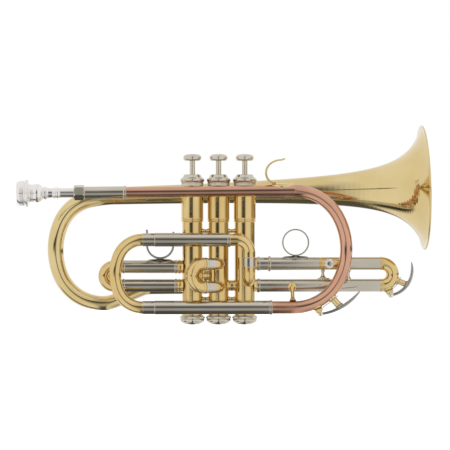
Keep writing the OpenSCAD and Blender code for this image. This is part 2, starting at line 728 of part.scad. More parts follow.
// Children drawn along +Z, which becomes the bell's axis running back from the rim
module bell_line() {
    translate([bell_rim_x, bell_y, bell_rim_z]) rotate([0, -90 - bell_tilt, 0]) children();
}

bell_stations = 34;
bell_depth = [for (k = [0:bell_stations]) bell_len * pow(k / bell_stations, 2.2)];
bell_outline = [for (d = bell_depth) [bell_radius(d), d]];

// Outer form of the bell, used to cut what is soldered to it
module bell_solid() { bell_line() turned(concat([[0, 0]], bell_outline, [[0, bell_len]])); }

module bell() {
    bead = 1;
    inside = [for (k = [bell_stations:-1:1]) [bell_radius(bell_depth[k]) - wall, bell_depth[k]]];
    color(yellow_brass) bell_line() union() {
        turned(concat(bell_outline, inside, [[bell_r - 2.6, 0.6], [bell_r - 1.6, 0]]));
        rotate_extrude($fn = 96) translate([bell_r - bead, 0.6]) circle(bead, $fn = 16);
    }
}

module bell_tail() {
    n = len(tail_path) - 1;
    color(yellow_brass)
        swept_tube(tail_path, bell_y, [for (k = [0:n]) tail_r[0] + (tail_r[1] - tail_r[0]) * k / n]);
}

module tail_bend(r) {
    translate([tail_end_x, bell_y - tail_elbow_r, tail_z])
        rotate_extrude(angle = 90, $fn = 96) translate([tail_elbow_r, 0]) circle(r);
    translate([valve_x(1), bell_y - tail_elbow_r, tail_z]) rotate([90, 0, 0])
        cylinder(r = r, h = bell_y - tail_elbow_r - 4);
}
module tail_elbow() {
    color(yellow_brass) difference() {
        tail_bend(tail_r[1]);
        tail_bend(tail_r[1] - wall);
        casing_solid(1);
    }
}

// ---- braces and hook ---------------------------------------------------------------------------------

hook_arcs = [[9, -62], [10.5, -75], [16, -40], [9, 30]];
module pinky_hook() {
    hook_t = 2.2;
    hook_w = 8;
    start = [53.1, 62.9];
    foot_x = [48.5, 70.4];
    path = path_points(path_steps(hook_arcs), start, 180);
    n = len(path) - 1;
    side = [for (p = path) [p[0] - hook_t / 2 * sin(p[2]), p[1] + hook_t / 2 * cos(p[2])]];
    other = [for (k = [n:-1:0]) 2 * [path[k][0], path[k][1]] - side[k]];
    color(yellow_brass) difference() {
        union() {
            translate([0, lead_y + hook_w / 2, 0]) rotate([90, 0, 0])
                linear_extrude(hook_w) polygon(concat(side, other));
            translate([foot_x[0], lead_y - hook_w / 2, 57]) cube([foot_x[1] - foot_x[0], hook_w, 6]);
        }
        leadpipe_solid();
    }
}

// Round post between two points with a plate at each end, to be trimmed by its caller
module post(a, b, r, plate_r) {
    d = b - a;
    span = norm(d);
    translate(a) rotate([0, acos(d[2] / span), atan2(d[1], d[0])]) {
        cylinder(r = r, h = span);
        cylinder(r = plate_r, h = 1.4);
        translate([0, 0, span - 1.4]) cylinder(r = plate_r, h = 1.4);
    }
}

module tube_braces() {
    bite = 0.8;                              // how deep a post's end is let into a tube before the cut
    long_x = [-62, 48];
    long_z = 55.2;
    block_r = 2.6;
    bow_brace_x = 69.2;
    color(nickel) {
        difference() {                       // leadpipe to bell, twice, and to casings 1 and 3
            union() {
                for (x = long_x)
                    post([x, lead_y + 5 - bite, long_z],
                         [x, bell_y - bell_radius(bell_rim_x - x) + bite, long_z], 2.2, 4.2);
                for (i = [1, 3]) translate([valve_x(i), lead_y, long_z]) rotate([-90, 0, 0])
                    cylinder(r = block_r, h = bell_y - lead_y);
            }
            leadpipe_solid();
            bell_solid();
            for (i = [1, 3]) casing_wide(i);
        }
        difference() {                       // casings to the main tuning slide
            for (p = [[1, tune_up_z], [2, tune_up_z], [1, tune_low_z], [3, tune_low_z]])
                translate([valve_x(p[0]), lead_y, p[1]]) rotate([-90, 0, 0])
                    cylinder(r = block_r, h = -lead_y);
            for (i = [1:3]) casing_solid(i);
            for (z = [tune_up_z, tune_low_z]) rod_x(-60, tune_low_end_x, lead_y, z, tune_r);
        }
        third_slide_fixed_brace();
        difference() {                       // third slide's lower leg down to the front bow's end
            union() {
                translate([bow_brace_x, -leg_r + 2, slide_low_z - 1]) rotate([90, 0, 0])
                    cylinder(r = 4.4, h = 3.2);
                post([bow_brace_x, -leg_r - bite, slide_low_z - 2],
                     [bow_brace_x, lead_y + 1, bow_low_z + bow_r], 1.9, 1.9);
            }
            rod_x(50, 90, 0, slide_low_z, leg_r);
            rod_x(50, 90, lead_y, bow_low_z, bow_r);
        }
    }
}

// ---- water keys -----------------------------------------------------------------------------------------

// All in polar form about the centre of the bend that a key sits on. A key is
// [centre X, centre Z, Y, bend radius, tube radius, saddle angle, pivot radius, chimney angle,
//  chimney radius, chimney end]
bow_key = [bow_x, lower_bow_cz, lead_y, bow_end_r, bow_r, -65, 58.6, -47, 3.3, 61];
slide_key = [third_crook_x, third_cz, 0, third_half, third_crook_r, -66, 21.4, -22, 2.8, 23.6];
bow_lever = [[-65, 58.6], [-52, 63.2], [-27, 69.6]];
slide_lever = [[-66, 21.4], [-26, 26.2], [22.5, 30.6]];
pivot_r = 1;
key_t = 2.4;                                // thickness of a lever
key_w = 4.4;                                // width of a lever
ear_gap = key_w + 0.2;                      // distance between a saddle's ears
ear_w = 1.1;
coil_w = 2.3;                               // space for the spring between the lever's lugs
cork_t = 1.2;

// Children placed on a key's bend: drawn with +X pointing away from the bend's centre
module at_key(k, angle) { translate([k[0], k[2], k[1]]) rotate([0, -angle, 0]) children(); }
module on_chimney(k, distance) { at_key(k, k[7]) rotate([0, 90, 0]) translate([0, 0, distance]) children(); }
module on_pivot(k) { at_key(k, k[5]) translate([k[6], 0, 0]) rotate([90, 0, 0]) children(); }

module key_saddle(k) {
    base = k[3] + k[4];
    color(yellow_brass) difference() {
        union() {
            on_chimney(k, k[3]) cylinder(r = k[8], h = k[9] - k[3]);
            at_key(k, k[5]) {
                for (s = [-1, 1]) translate([base - 1.5, s * (ear_gap + ear_w) / 2 - ear_w / 2, -2.2])
                    cube([k[6] - base + 3.4, ear_w, 4.4]);
                translate([base - 1.5, -ear_gap / 2 - 0.1, -2.2]) cube([2.5, ear_gap + 0.2, 4.4]);
            }
        }
        on_chimney(k, 0) cylinder(r = k[8] - 0.8, h = 100);
        on_pivot(k) cylinder(r = pivot_r, h = 20, center = true);
        translate([k[0], k[2], k[1]]) rotate([90, 0, 0])
            rotate_extrude($fn = 96) translate([k[3], 0]) circle(k[4]);
    }
    color(silver) on_pivot(k) {
        cylinder(r = pivot_r, h = ear_gap + 2 * ear_w, center = true);
        for (s = [-1, 1]) translate([0, 0, s * (ear_gap / 2 + ear_w + 0.4)])
            cylinder(r = 1.9, h = 0.8, center = true);
    }
}

// Point on a lever's line: quadratic in angle and radius between three control points
function bezier(c, u) = (1 - u) * (1 - u) * c[0] + 2 * u * (1 - u) * c[1] + u * u * c[2];
function polar_xz(k, q, shift) = [k[0] + (q[1] + shift) * cos(q[0]), k[1] + (q[1] + shift) * sin(q[0])];

module key_lever(k, control) {
    steps = 14;
    outside = [for (s = [0:steps]) polar_xz(k, bezier(control, s / steps), key_t / 2)];
    inside = [for (s = [steps:-1:0]) polar_xz(k, bezier(control, s / steps), -key_t / 2)];
    color(steel) difference() {
        union() {
            translate([0, k[2] + key_w / 2, 0]) rotate([90, 0, 0]) linear_extrude(key_w)
                polygon(concat(outside, inside));
            on_pivot(k) cylinder(r = 2, h = key_w, center = true);
            on_chimney(k, k[9] + cork_t / 2) cylinder(r = k[8] + 0.6, h = 2.2);
        }
        on_pivot(k) cylinder(r = pivot_r + 0.05, h = 20, center = true);
        on_pivot(k) cylinder(r = 3.1, h = coil_w, center = true);
        on_chimney(k, k[9] - 2) cylinder(r = k[8], h = 2 + cork_t);
    }
}

module key_cork(k) { color(cork_brown) on_chimney(k, k[9]) cylinder(r = k[8], h = cork_t); }

module key_spring(k) {
    wire_r = 0.3;
    height = coil_w - 2 * wire_r - 0.3;
    color(steel) on_pivot(k) translate([0, 0, -height / 2]) coil(1.8, wire_r, 2, height);
}

module bow_key_saddle() { key_saddle(bow_key); }
module bow_key_lever() { key_lever(bow_key, bow_lever); }
module bow_key_cork() { key_cork(bow_key); }
module bow_key_spring() { key_spring(bow_key); }
module slide_key_saddle() { key_saddle(slide_key); }
module slide_key_lever() { key_lever(slide_key, slide_lever); }
module slide_key_cork() { key_cork(slide_key); }
module slide_key_spring() { key_spring(slide_key); }

mouthpiece();
receiver();
leadpipe();
front_bow();
tuning_outer_lower();
tuning_outer_upper();
tuning_crook();
tuning_inner_tubes();
valve_inlet_elbow();
inlet_ferrule();
casing(1);  // casing_1
casing(2);  // casing_2
casing(3);  // casing_3
top_cap(1);  // top_cap_1
top_cap(2);  // top_cap_2
top_cap(3);  // top_cap_3
bottom_caps();
piston(1);  // piston_1
piston(2);  // piston_2
piston(3);  // piston_3
stem(1);  // stem_1
stem(2);  // stem_2
stem(3);  // stem_3
button(1);  // button_1
button(2);  // button_2
button(3);  // button_3
spring(1);  // spring_1
spring(2);  // spring_2
spring(3);  // spring_3
casing_braces();
valve_cross_tubes();
first_slide_outer();
first_slide_inner();
first_slide_crook();
thumb_saddle();
second_slide_elbows();
second_slide_outer();
second_slide_inner();
second_slide_crook();
second_slide_knob();
third_slide_outer();
third_slide_inner();
third_slide_moving_tubes();
third_slide_crook();
third_slide_moving_brace();
finger_ring();
lock_screw();
bell();
bell_tail();
tail_elbow();
pinky_hook();
tube_braces();
bow_key_saddle();
bow_key_lever();
bow_key_cork();
bow_key_spring();
slide_key_saddle();
slide_key_lever();
slide_key_cork();
slide_key_spring();
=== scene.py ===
"""A three-valve piston cornet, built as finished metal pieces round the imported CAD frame.

Lengths are millimetres until piece() turns them into metres. +X runs towards the bell, +Z is up and the
camera stands on the -Y side. Places come from the frame's boxes, joints and mounts.
"""
import json
import math

import bpy
import numpy as np
from mathutils import Matrix, Vector


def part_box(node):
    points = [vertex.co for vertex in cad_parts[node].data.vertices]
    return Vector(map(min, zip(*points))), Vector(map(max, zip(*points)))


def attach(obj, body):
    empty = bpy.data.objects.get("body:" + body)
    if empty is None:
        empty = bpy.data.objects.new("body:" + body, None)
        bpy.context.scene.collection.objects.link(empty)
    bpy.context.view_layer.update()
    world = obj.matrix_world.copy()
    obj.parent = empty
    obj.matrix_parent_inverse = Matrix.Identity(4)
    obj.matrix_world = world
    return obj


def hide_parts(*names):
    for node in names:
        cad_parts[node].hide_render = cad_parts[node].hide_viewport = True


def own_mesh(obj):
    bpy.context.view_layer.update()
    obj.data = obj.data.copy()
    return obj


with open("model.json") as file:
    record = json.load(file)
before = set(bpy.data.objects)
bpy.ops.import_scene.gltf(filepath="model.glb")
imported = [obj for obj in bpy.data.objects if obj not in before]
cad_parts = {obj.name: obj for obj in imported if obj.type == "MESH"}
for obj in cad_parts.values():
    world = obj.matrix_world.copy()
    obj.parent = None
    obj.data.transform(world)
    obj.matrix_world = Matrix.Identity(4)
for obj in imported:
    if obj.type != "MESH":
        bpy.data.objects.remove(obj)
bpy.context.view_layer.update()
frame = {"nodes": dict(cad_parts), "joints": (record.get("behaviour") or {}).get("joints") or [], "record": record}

RECORD = frame["record"]
JOINTS = {j["name"]: j for j in frame["joints"]}
MOUNTS = {m["name"]: m for m in RECORD["mounts"]}
X, Y, Z = np.eye(3)
WALL = 0.6                      # wall of the brass tubes


# ---- reading the frame ----

def corners(node):
    """Lowest and highest corner of a CAD node, in millimetres."""
    low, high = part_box(node)
    return np.array(low) * 1000, np.array(high) * 1000


def middle(node):
    low, high = corners(node)
    return (low + high) / 2


def half_size(node):
    low, high = corners(node)
    return (high - low) / 2


# ---- shapes: each returns (points, faces) ----

def unit(v):
    v = np.array(v, float)
    return v / np.linalg.norm(v)


def skin(loops, ring=False, capped=True):
    """Joins loops of equal length side by side. A ring also joins the last loop to the first."""
    n, m = len(loops[0]), len(loops)
    faces = []
    for i in range(m if ring else m - 1):
        a, b = i * n, ((i + 1) % m) * n
        for j in range(n):
            k = (j + 1) % n
            faces.append((a + j, a + k, b + k, b + j))
    if capped and not ring:
        faces.append(tuple(range(n - 1, -1, -1)))
        faces.append(tuple((m - 1) * n + j for j in range(n)))
    return np.vstack(loops), faces


def placed(shape, matrix):
    points, faces = shape
    return points @ np.array(matrix.to_3x3()).T + np.array(matrix.translation), faces


def along(origin, direction, up=Z):
    """Matrix that lays local +Z along a direction, with local +X as near to up as it can be."""
    z = Vector(unit(direction))
    x = Vector(up) - z * Vector(up).dot(z)
    x = x.normalized() if x.length > 1e-6 else z.orthogonal().normalized()
    m = Matrix((x, z.cross(x), z)).transposed().to_4x4()
    m.translation = Vector(origin)
    return m


def softened(outline, radius=0.35, steps=3):
    """The outline with each inner corner turned into a small curve."""
    pts = [np.array(p, float) for p in outline]
    out = [pts[0]]
    for before, corner, after in zip(pts, pts[1:], pts[2:]):
        a, b = before - corner, after - corner
        la, lb = np.linalg.norm(a), np.linalg.norm(b)
        cut = min(radius, la * 0.45, lb * 0.45)
        start, end = corner + a / la * cut, corner + b / lb * cut
        for k in range(steps + 1):
            t = k / steps
            out.append((1 - t) ** 2 * start + 2 * t * (1 - t) * corner + t * t * end)
    out.append(pts[-1])
    return out


def supported(outline, near=0.35, longest=5):
    """The outline with extra points close to both ends of each long stretch, which keep its shading even."""
    out = [np.array(outline[0], float)]
    for before, after in zip(outline, outline[1:]):
        a, b = np.array(before, float), np.array(after, float)
        length = np.linalg.norm(b - a)
        if length > 3 * near:
            inner = np.linspace(near, length - near, 2 + int(length / longest))
            out += [a + (b - a) * d / length for d in inner]
        out.append(b)
    return out


def turned(outline, sides=96, ring=False, shape=None):
    """Solid of revolution about local +Z from (radius, height) points. shape(angle, radius, height) may
    change the radius, for flats and knurling."""
    angles = np.arange(sides) * 2 * math.pi / sides
    loops = []
    for r, h in supported(outline):
        radii = np.full(sides, max(r, 0.01))
        if shape:
            radii = np.array([shape(a, r, h) for a in angles])
        loops.append(np.column_stack([radii * np.cos(angles), radii * np.sin(angles), np.full(sides, h)]))
    return skin(loops, ring)


def knurl(teeth, depth, low, high):
    """Shape for turned(): fine grooves between two heights."""
    def radius(angle, r, h):
        if low <= h <= high:
            return r - depth * (0.5 + 0.5 * math.cos(teeth * angle))
        return r
    return radius


def route(start, heading, *legs):
    """Points and headings along a path. A leg is a length, or a bend (radius, degrees, axis)."""
    p, t = np.array(start, float), unit(heading)
    points, heads = [p], [t]
    for leg in legs:
        if np.isscalar(leg):
            n = max(2, int(leg / 4))
            for k in range(1, n + 1):
                points.append(p + t * leg * k / n)
                heads.append(t)
        else:
            radius, degrees, axis = leg
            axis = unit(axis)
            centre = p + radius * math.copysign(1, degrees) * np.cross(axis, t)
            n = max(3, math.ceil(abs(degrees) / 2.5))
            start_p, start_t = p, t
            for k in range(1, n + 1):
                turn = np.array(Matrix.Rotation(math.radians(degrees) * k / n, 3, Vector(axis)))
                points.append(centre + turn @ (start_p - centre))
                heads.append(turn @ start_t)
        p, t = points[-1], heads[-1]
    return np.array(points), np.array(heads)


def lengths(points):
    """Distance from the first point to each point, as shares of the whole."""
    steps = np.linalg.norm(np.diff(points, axis=0), axis=1)
    total = np.concatenate([[0], np.cumsum(steps)])
    return total / total[-1]


def sweep(path, section, side=Y, scales=None, ring=False):
    """Carries a section of (out, across) points along a path. Across starts as the side direction."""
    points, heads = path
    across = unit(side)
    loops = []
    for k, (p, t) in enumerate(zip(points, heads)):
        across = unit(across - t * (across @ t))
        out = np.cross(across, t)
        s = 1 if scales is None else scales[k]
        loops.append(np.array([p + s * (a * out + b * across) for a, b in section]))
    return skin(loops[:-1] if ring else loops, ring)


def circle(radius, sides=48):
    return [(radius * math.cos(a), radius * math.sin(a)) for a in np.arange(sides) * 2 * math.pi / sides]


def rounded_bar(thickness, width, radius, steps=4):
    """Section of a flat bar with rounded corners."""
    out = []
    for cx, cy, start in ((1, 1, 0), (-1, 1, 90), (-1, -1, 180), (1, -1, 270)):
        for k in range(steps + 1):
            a = math.radians(start + 90 * k / steps)
            out.append((cx * (thickness / 2 - radius) + radius * math.cos(a),
                        cy * (width / 2 - radius) + radius * math.sin(a)))
    return out


def tube(path, radius, end_radius=None, sides=56):
    """Tube along a path, tapering if an end radius is given."""
    scales = None
    if end_radius is not None:
        scales = 1 + (end_radius / radius - 1) * lengths(path[0])
    return sweep(path, circle(radius, sides), scales=scales)


def hollow_tube(path, radius, end_radius, sides):
    """Tapering tube with an inner wall, open at both ends."""
    outer, _ = tube(path, radius, end_radius, sides)
    inner, _ = tube(path, radius - WALL, end_radius - WALL, sides)
    split = len(path[0])
    return skin([*np.split(outer, split), *np.split(inner, split)[::-1]], ring=True)


def pipe(start, end, outline=None, radius=None, sides=72, bore=None):
    """Straight tube between two points: from an outline of (radius, distance), or of one radius. A bore
    makes it open at both ends."""
    start, end = np.array(start, float), np.array(end, float)
    span = np.linalg.norm(end - start)
    outline = list(outline) if outline else [(radius, 0), (radius, span)]
    if bore:
        outline = outline + [(bore, outline[-1][1]), (bore, outline[0][1])]
    return placed(turned(outline, sides, ring=bool(bore)), along(start, end - start))


def arc_points(middle, radii, angles):
    """Points of an outline along part of a circle or an ellipse, at angles in degrees."""
    return [(middle[0] + radii[0] * math.cos(math.radians(t)),
             middle[1] + radii[1] * math.sin(math.radians(t)))
            for t in angles]


def saddle_plate(centre, axis, normal, tube_r, half_length, half_angle, thickness):
    """Oval plate bent round a tube: thin at its edge and full in the middle, as soldered feet are."""
    axis, normal = unit(axis), unit(normal)
    side = np.cross(axis, normal)
    rings, spokes = 10, 48
    points, faces = [np.array(centre) + normal * (tube_r + thickness)], []
    for i in range(1, rings + 1):
        rho = math.sin(math.pi / 2 * i / rings)
        height = tube_r - 0.25 + (thickness + 0.25) * math.sqrt(max(0, 1 - rho ** 4))
        for j in range(spokes):
            a = 2 * math.pi * j / spokes
            phi = math.radians(half_angle) * rho * math.sin(a)
            points.append(np.array(centre) + axis * half_length * rho * math.cos(a)
                          + height * (normal * math.cos(phi) + side * math.sin(phi)))
    base = len(points)
    points.append(np.array(centre) + normal * (tube_r - 0.4))
    for j in range(spokes):
        k = (j + 1) % spokes
        faces.append((0, 1 + j, 1 + k))
        for i in range(rings - 1):
            a = 1 + i * spokes
            faces.append((a + j, a + spokes + j, a + spokes + k, a + k))
        last = 1 + (rings - 1) * spokes
        faces.append((last + j, base, last + k))
    return np.array(points), faces


def wire(points, radius, sides=12):
    """Round wire through given points, as a smooth curve."""
    pts = np.array(points, float)
    dense = []
    for k in range(len(pts) - 1):
        a, b, c, d = pts[max(k - 1, 0)], pts[k], pts[k + 1], pts[min(k + 2, len(pts) - 1)]
        for t in np.arange(0, 1, 0.125):
            dense.append(0.5 * ((2 * b) + (c - a) * t + (2 * a - 5 * b + 4 * c - d) * t * t
                                + (3 * b - 3 * c + d - a) * t ** 3))
    dense = np.array(dense + [pts[-1]])
    heads = np.gradient(dense, axis=0)
    heads = heads / np.linalg.norm(heads, axis=1)[:, None]
    side = Y if abs(heads[0] @ Y) < 0.9 else X
    return sweep((dense, heads), circle(radius, sides), side=side)


# ---- materials ----

def shader(name):
    material = bpy.data.materials.new(name)
    material.use_nodes = True
    return material, material.node_tree, material.node_tree.nodes["Principled BSDF"]


def link(tree, a, output, b, socket):
    tree.links.new(a.outputs[output], b.inputs[socket])


def object_noise(tree, scale, detail=3, stretch=(1, 1, 1)):
    """Noise that is fixed to the metal, with scale in cells per metre."""
    coords = tree.nodes.new("ShaderNodeTexCoord")
    mapping = tree.nodes.new("ShaderNodeMapping")
    mapping.inputs["Scale"].default_value = stretch
    noise = tree.nodes.new("ShaderNodeTexNoise")
    noise.inputs["Scale"].default_value = scale
    noise.inputs["Detail"].default_value = detail
    link(tree, coords, "Object", mapping, "Vector")
    link(tree, mapping, "Vector", noise, "Vector")
    return noise


def ramp(tree, source, output, stops):
    node = tree.nodes.new("ShaderNodeValToRGB")
    elements = node.color_ramp.elements
    while len(elements) < len(stops):
        elements.new(0.5)
    for element, (place, value) in zip(elements, stops):
        element.position = place
        element.color = (*value, 1) if isinstance(value, tuple) else (value, value, value, 1)
    link(tree, source, output, node, "Fac")
    return node


def metal(name, colour, shade, roughness, lacquer=0.0):
    """Polished metal: a slow drift of tone, faint tarnish, fine rubbing marks and worn-bright edges."""
    material, tree, bsdf = shader(name)
    bsdf.inputs["Metallic"].default_value = 1.0
    bsdf.inputs["Coat Weight"].default_value = lacquer
    bsdf.inputs["Coat Roughness"].default_value = 0.05
    drift = object_noise(tree, 28, 2)
    tone = ramp(tree, drift, "Fac", [(0.3, shade), (0.62, colour)])
    geometry = tree.nodes.new("ShaderNodeNewGeometry")
    worn = ramp(tree, geometry, "Pointiness", [(0.52, 0.0), (0.62, 1.0)])
    bright = tree.nodes.new("ShaderNodeMix")
    bright.data_type = "RGBA"
    bright.inputs["B"].default_value = (*[min(1, c * 1.12 + 0.02) for c in colour], 1)
    link(tree, worn, "Color", bright, "Factor")
    link(tree, tone, "Color", bright, "A")
    tree.links.new(bright.outputs["Result"], bsdf.inputs["Base Color"])
    smears = object_noise(tree, 160, 5, (1, 1, 2.4))
    rough = ramp(tree, smears, "Fac", [(0.3, roughness * 0.75), (0.75, roughness * 1.5)])
    link(tree, rough, "Color", bsdf, "Roughness")
    scratches = object_noise(tree, 900, 4, (0.12, 1, 1))
    bump = tree.nodes.new("ShaderNodeBump")
    bump.inputs["Strength"].default_value = 0.035
    bump.inputs["Distance"].default_value = 0.0002
    link(tree, scratches, "Fac", bump, "Height")
    link(tree, bump, "Normal", bsdf, "Normal")
    return material


def cork():
    material, tree, bsdf = shader("natural_cork")
    grain = object_noise(tree, 1400, 6)
    tone = ramp(tree, grain, "Fac", [(0.35, (0.17, 0.09, 0.04)), (0.6, (0.52, 0.36, 0.20))])
    link(tree, tone, "Color", bsdf, "Base Color")
    bsdf.inputs["Roughness"].default_value = 0.85
    bump = tree.nodes.new("ShaderNodeBump")
    bump.inputs["Strength"].default_value = 0.5
    bump.inputs["Distance"].default_value = 0.0003
    link(tree, grain, "Fac", bump, "Height")
    link(tree, bump, "Normal", bsdf, "Normal")
    return material


def felt():
    material, tree, bsdf = shader("valve_felt")
    fibres = object_noise(tree, 2600, 6)
    tone = ramp(tree, fibres, "Fac", [(0.3, (0.05, 0.05, 0.05)), (0.7, (0.16, 0.155, 0.15))])
    link(tree, tone, "Color", bsdf, "Base Color")
    bsdf.inputs["Roughness"].default_value = 0.95
    bsdf.inputs["Sheen Weight"].default_value = 0.4
    return material


def pearl():
    """Mother of pearl: pale layers that drift between pink, green and cream."""
    material, tree, bsdf = shader("button_pearl")
    layers = object_noise(tree, 190, 4, (1, 1, 3))
    tone = ramp(tree, layers, "Fac", [(0.3, (0.56, 0.44, 0.42)), (0.45, (0.62, 0.58, 0.50)),
                                      (0.58, (0.50, 0.56, 0.46)), (0.75, (0.70, 0.66, 0.60))])
    link(tree, tone, "Color", bsdf, "Base Color")
    bsdf.inputs["Roughness"].default_value = 0.18
    bsdf.inputs["Metallic"].default_value = 0.35
    bsdf.inputs["Coat Weight"].default_value = 0.6
    bsdf.inputs["Coat Roughness"].default_value = 0.06
    return material


BRASS = metal("lacquered_yellow_brass", (0.75, 0.60, 0.305), (0.69, 0.53, 0.24), 0.06, 0.25)
GOLD = metal("deep_yellow_brass", (0.74, 0.555, 0.25), (0.68, 0.485, 0.19), 0.06, 0.25)
ROSE = metal("lacquered_rose_brass", (0.66, 0.375, 0.255), (0.60, 0.325, 0.21), 0.065, 0.25)
NICKEL = metal("polished_nickel_silver", (0.63, 0.585, 0.49), (0.57, 0.52, 0.425), 0.065)
SILVER = metal("polished_silver_plate", (0.86, 0.83, 0.81), (0.80, 0.77, 0.74), 0.06)
DULL = metal("dull_nickel_silver", (0.40, 0.375, 0.325), (0.34, 0.315, 0.27), 0.12)
STEEL = metal("dark_spring_steel", (0.40, 0.385, 0.36), (0.32, 0.305, 0.28), 0.1)
CORK = cork()
FELT = felt()
PEARL = pearl()


# ---- making pieces ----

def piece(name, shapes, material, body="root", nodes=(), crease=38):
    """One visible piece from several shapes. It rides on a body and stands for the CAD nodes given."""
    points, faces, base = [], [], 0
    for pts, fcs in shapes:
        points.append(pts)
        faces += [tuple(i + base for i in f) for f in fcs]
        base += len(pts)
    mesh = bpy.data.meshes.new(name)
    mesh.from_pydata((np.vstack(points) / 1000).tolist(), [], faces)
    mesh.validate()
    mesh.materials.append(material)
    mesh.shade_smooth()
    mesh.set_sharp_from_angle(angle=math.radians(crease))
    obj = bpy.data.objects.new(name, mesh)
    bpy.context.scene.collection.objects.link(obj)
    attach(obj, body)
    if nodes:
        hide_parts(*nodes)
    return obj


def dress(material, *nodes):
    """Gives carried-over CAD nodes a finished material."""
    for node in nodes:
        mesh = frame["nodes"][node].data
        mesh.materials.clear()
        mesh.materials.append(material)


# ---- leadpipe line ----

lead_axis = -np.array(JOINTS["mouthpiece_pull"]["axis"])       # towards the front bow
BOW_R = half_size("front_bow")[1]
BOW_REACH = 49
BOW_END_R = 47
bow_low, bow_high = corners("front_bow")
lead_y = middle("front_bow")[1]
bow_start = np.array([bow_high[0] - BOW_R - BOW_REACH, lead_y, bow_high[2] - BOW_R])
bow_low_z = bow_low[2] + BOW_R


def lead_point(node, end):
    """Where a node of the leadpipe line begins (end 0) or stops (end 1), on the line."""
    x = corners(node)[end][0]
    return bow_start + lead_axis * (x - bow_start[0]) / lead_axis[0]


def half_oval(top, reach, rise, end_r, side):
    """Route of the half oval that the front bow and the tuning crook share, from its upper end."""
    side_r = (reach ** 2 + (rise - end_r) ** 2 - end_r ** 2) / (2 * (reach - end_r))
    join = math.degrees(math.atan2(rise - end_r, side_r - reach))
    turn = side * Y
    return route(top, side * X, (end_r, 90 - join, turn), (side_r, 2 * join, turn), (end_r, 90 - join, turn))


def extended(path, length):
    """The path with a straight run added at its end."""
    points, heads = path
    more, more_heads = route(points[-1], heads[-1], length)
    return np.vstack([points, more[1:]]), np.vstack([heads, more_heads[1:]])


def mouthpiece():
    rim = lead_point("mouthpiece", 0) + 0.1 * lead_axis
    outline = [(9.6, 0), (10.7, 0.5), (11.5, 2.2), (11.6, 6.6), (11.2, 7.4), (12.3, 8.1), (12.7, 9.4),
               (12.3, 10.6), (8.6, 11.2), (8.0, 12.4), (8.1, 16), (8.6, 18), (8.5, 20), (7.2, 22.6),
               (5.3, 24.2), (5.3, 25), (5.9, 25.4), (5.9, 27.2), (5.1, 27.6), (5.1, 28.4), (4.5, 29),
               (4.3, 33.4), (4.9, 34), (5.0, 35.2), (4.6, 35.8), (4.6, 36.6), (5.0, 37.2), (5.0, 38.6),
               (4.5, 39.4), (4.35, 41), (4.35, 53.2), (3.9, 75.2), (2.9, 75.2)]
    cup = [(1.85, 24), (1.85, 12.4), (3, 11.2), (5.6, 9), (7.4, 5.5), (8.2, 1.6), (8.8, 0.35)]
    shape = turned(softened(outline + cup, 0.5, 4), 128, ring=True)
    piece("mouthpiece_body", [placed(shape, along(rim, lead_axis))], SILVER, "mouthpiece", ["mouthpiece"], 50)


def receiver():
    start = lead_point("receiver", 0)
    collar, corner_r, tube_r = 10, 7.3, 5.6
    apothem = corner_r * math.cos(math.pi / 6)

    def hexagon(angle, r, h):
        if h > collar or r < tube_r:
            return r
        return min(r, apothem / math.cos((angle + math.pi / 6) % (math.pi / 3) - math.pi / 6))

    outline = [(6.1, 0), (6.9, 0.5), (corner_r, 1.2), (corner_r, collar - 1.2), (6.9, collar - 0.5),
               (6.1, collar)]
    tube_part = softened([(5.0, collar - 0.2), (tube_r, collar + 0.01), (tube_r, 46.5), (6.1, 46.8),
                          (6.1, 48.7),
                          (5.6, 49), (4.6, 49)], 0.25)
    bore = [(4.45, 0), (4.1, 22), (4.3, 49)]
    matrix = along(start, lead_axis) @ Matrix.Rotation(math.radians(90 - 13), 4, "Z")
    shell = [(4.45, 0)] + outline + [(5.0, collar)]
    piece("receiver_collar", [placed(turned(shell, 96, shape=hexagon), matrix)], NICKEL, "root", ["receiver"],
          20)
    piece("receiver_tube", [placed(turned(tube_part + bore[::-1], 96, ring=True), matrix)], NICKEL)


def leadpipe():
    start = lead_point("leadpipe", 0)
    length = np.linalg.norm(bow_start - start)
    outline = [(4.9, 0), (5.1, 110), (BOW_R, length)]
    outline = [(r, h) for h in np.linspace(0, length, 24)
               for r in [np.interp(h, [p[1] for p in outline], [p[0] for p in outline])]]
    piece("leadpipe_tube", [placed(turned(outline, 96), along(start, lead_axis))], ROSE, "root", ["leadpipe"])


def front_bow():
    rise = (bow_start[2] - bow_low_z) / 2
    path = extended(half_oval(bow_start, BOW_REACH, rise, BOW_END_R, 1), bow_start[0] - bow_low[0])
    piece("front_bow_tube", [tube(path, BOW_R, sides=72)], ROSE, "root", ["front_bow"])


# ---- main tuning slide ----

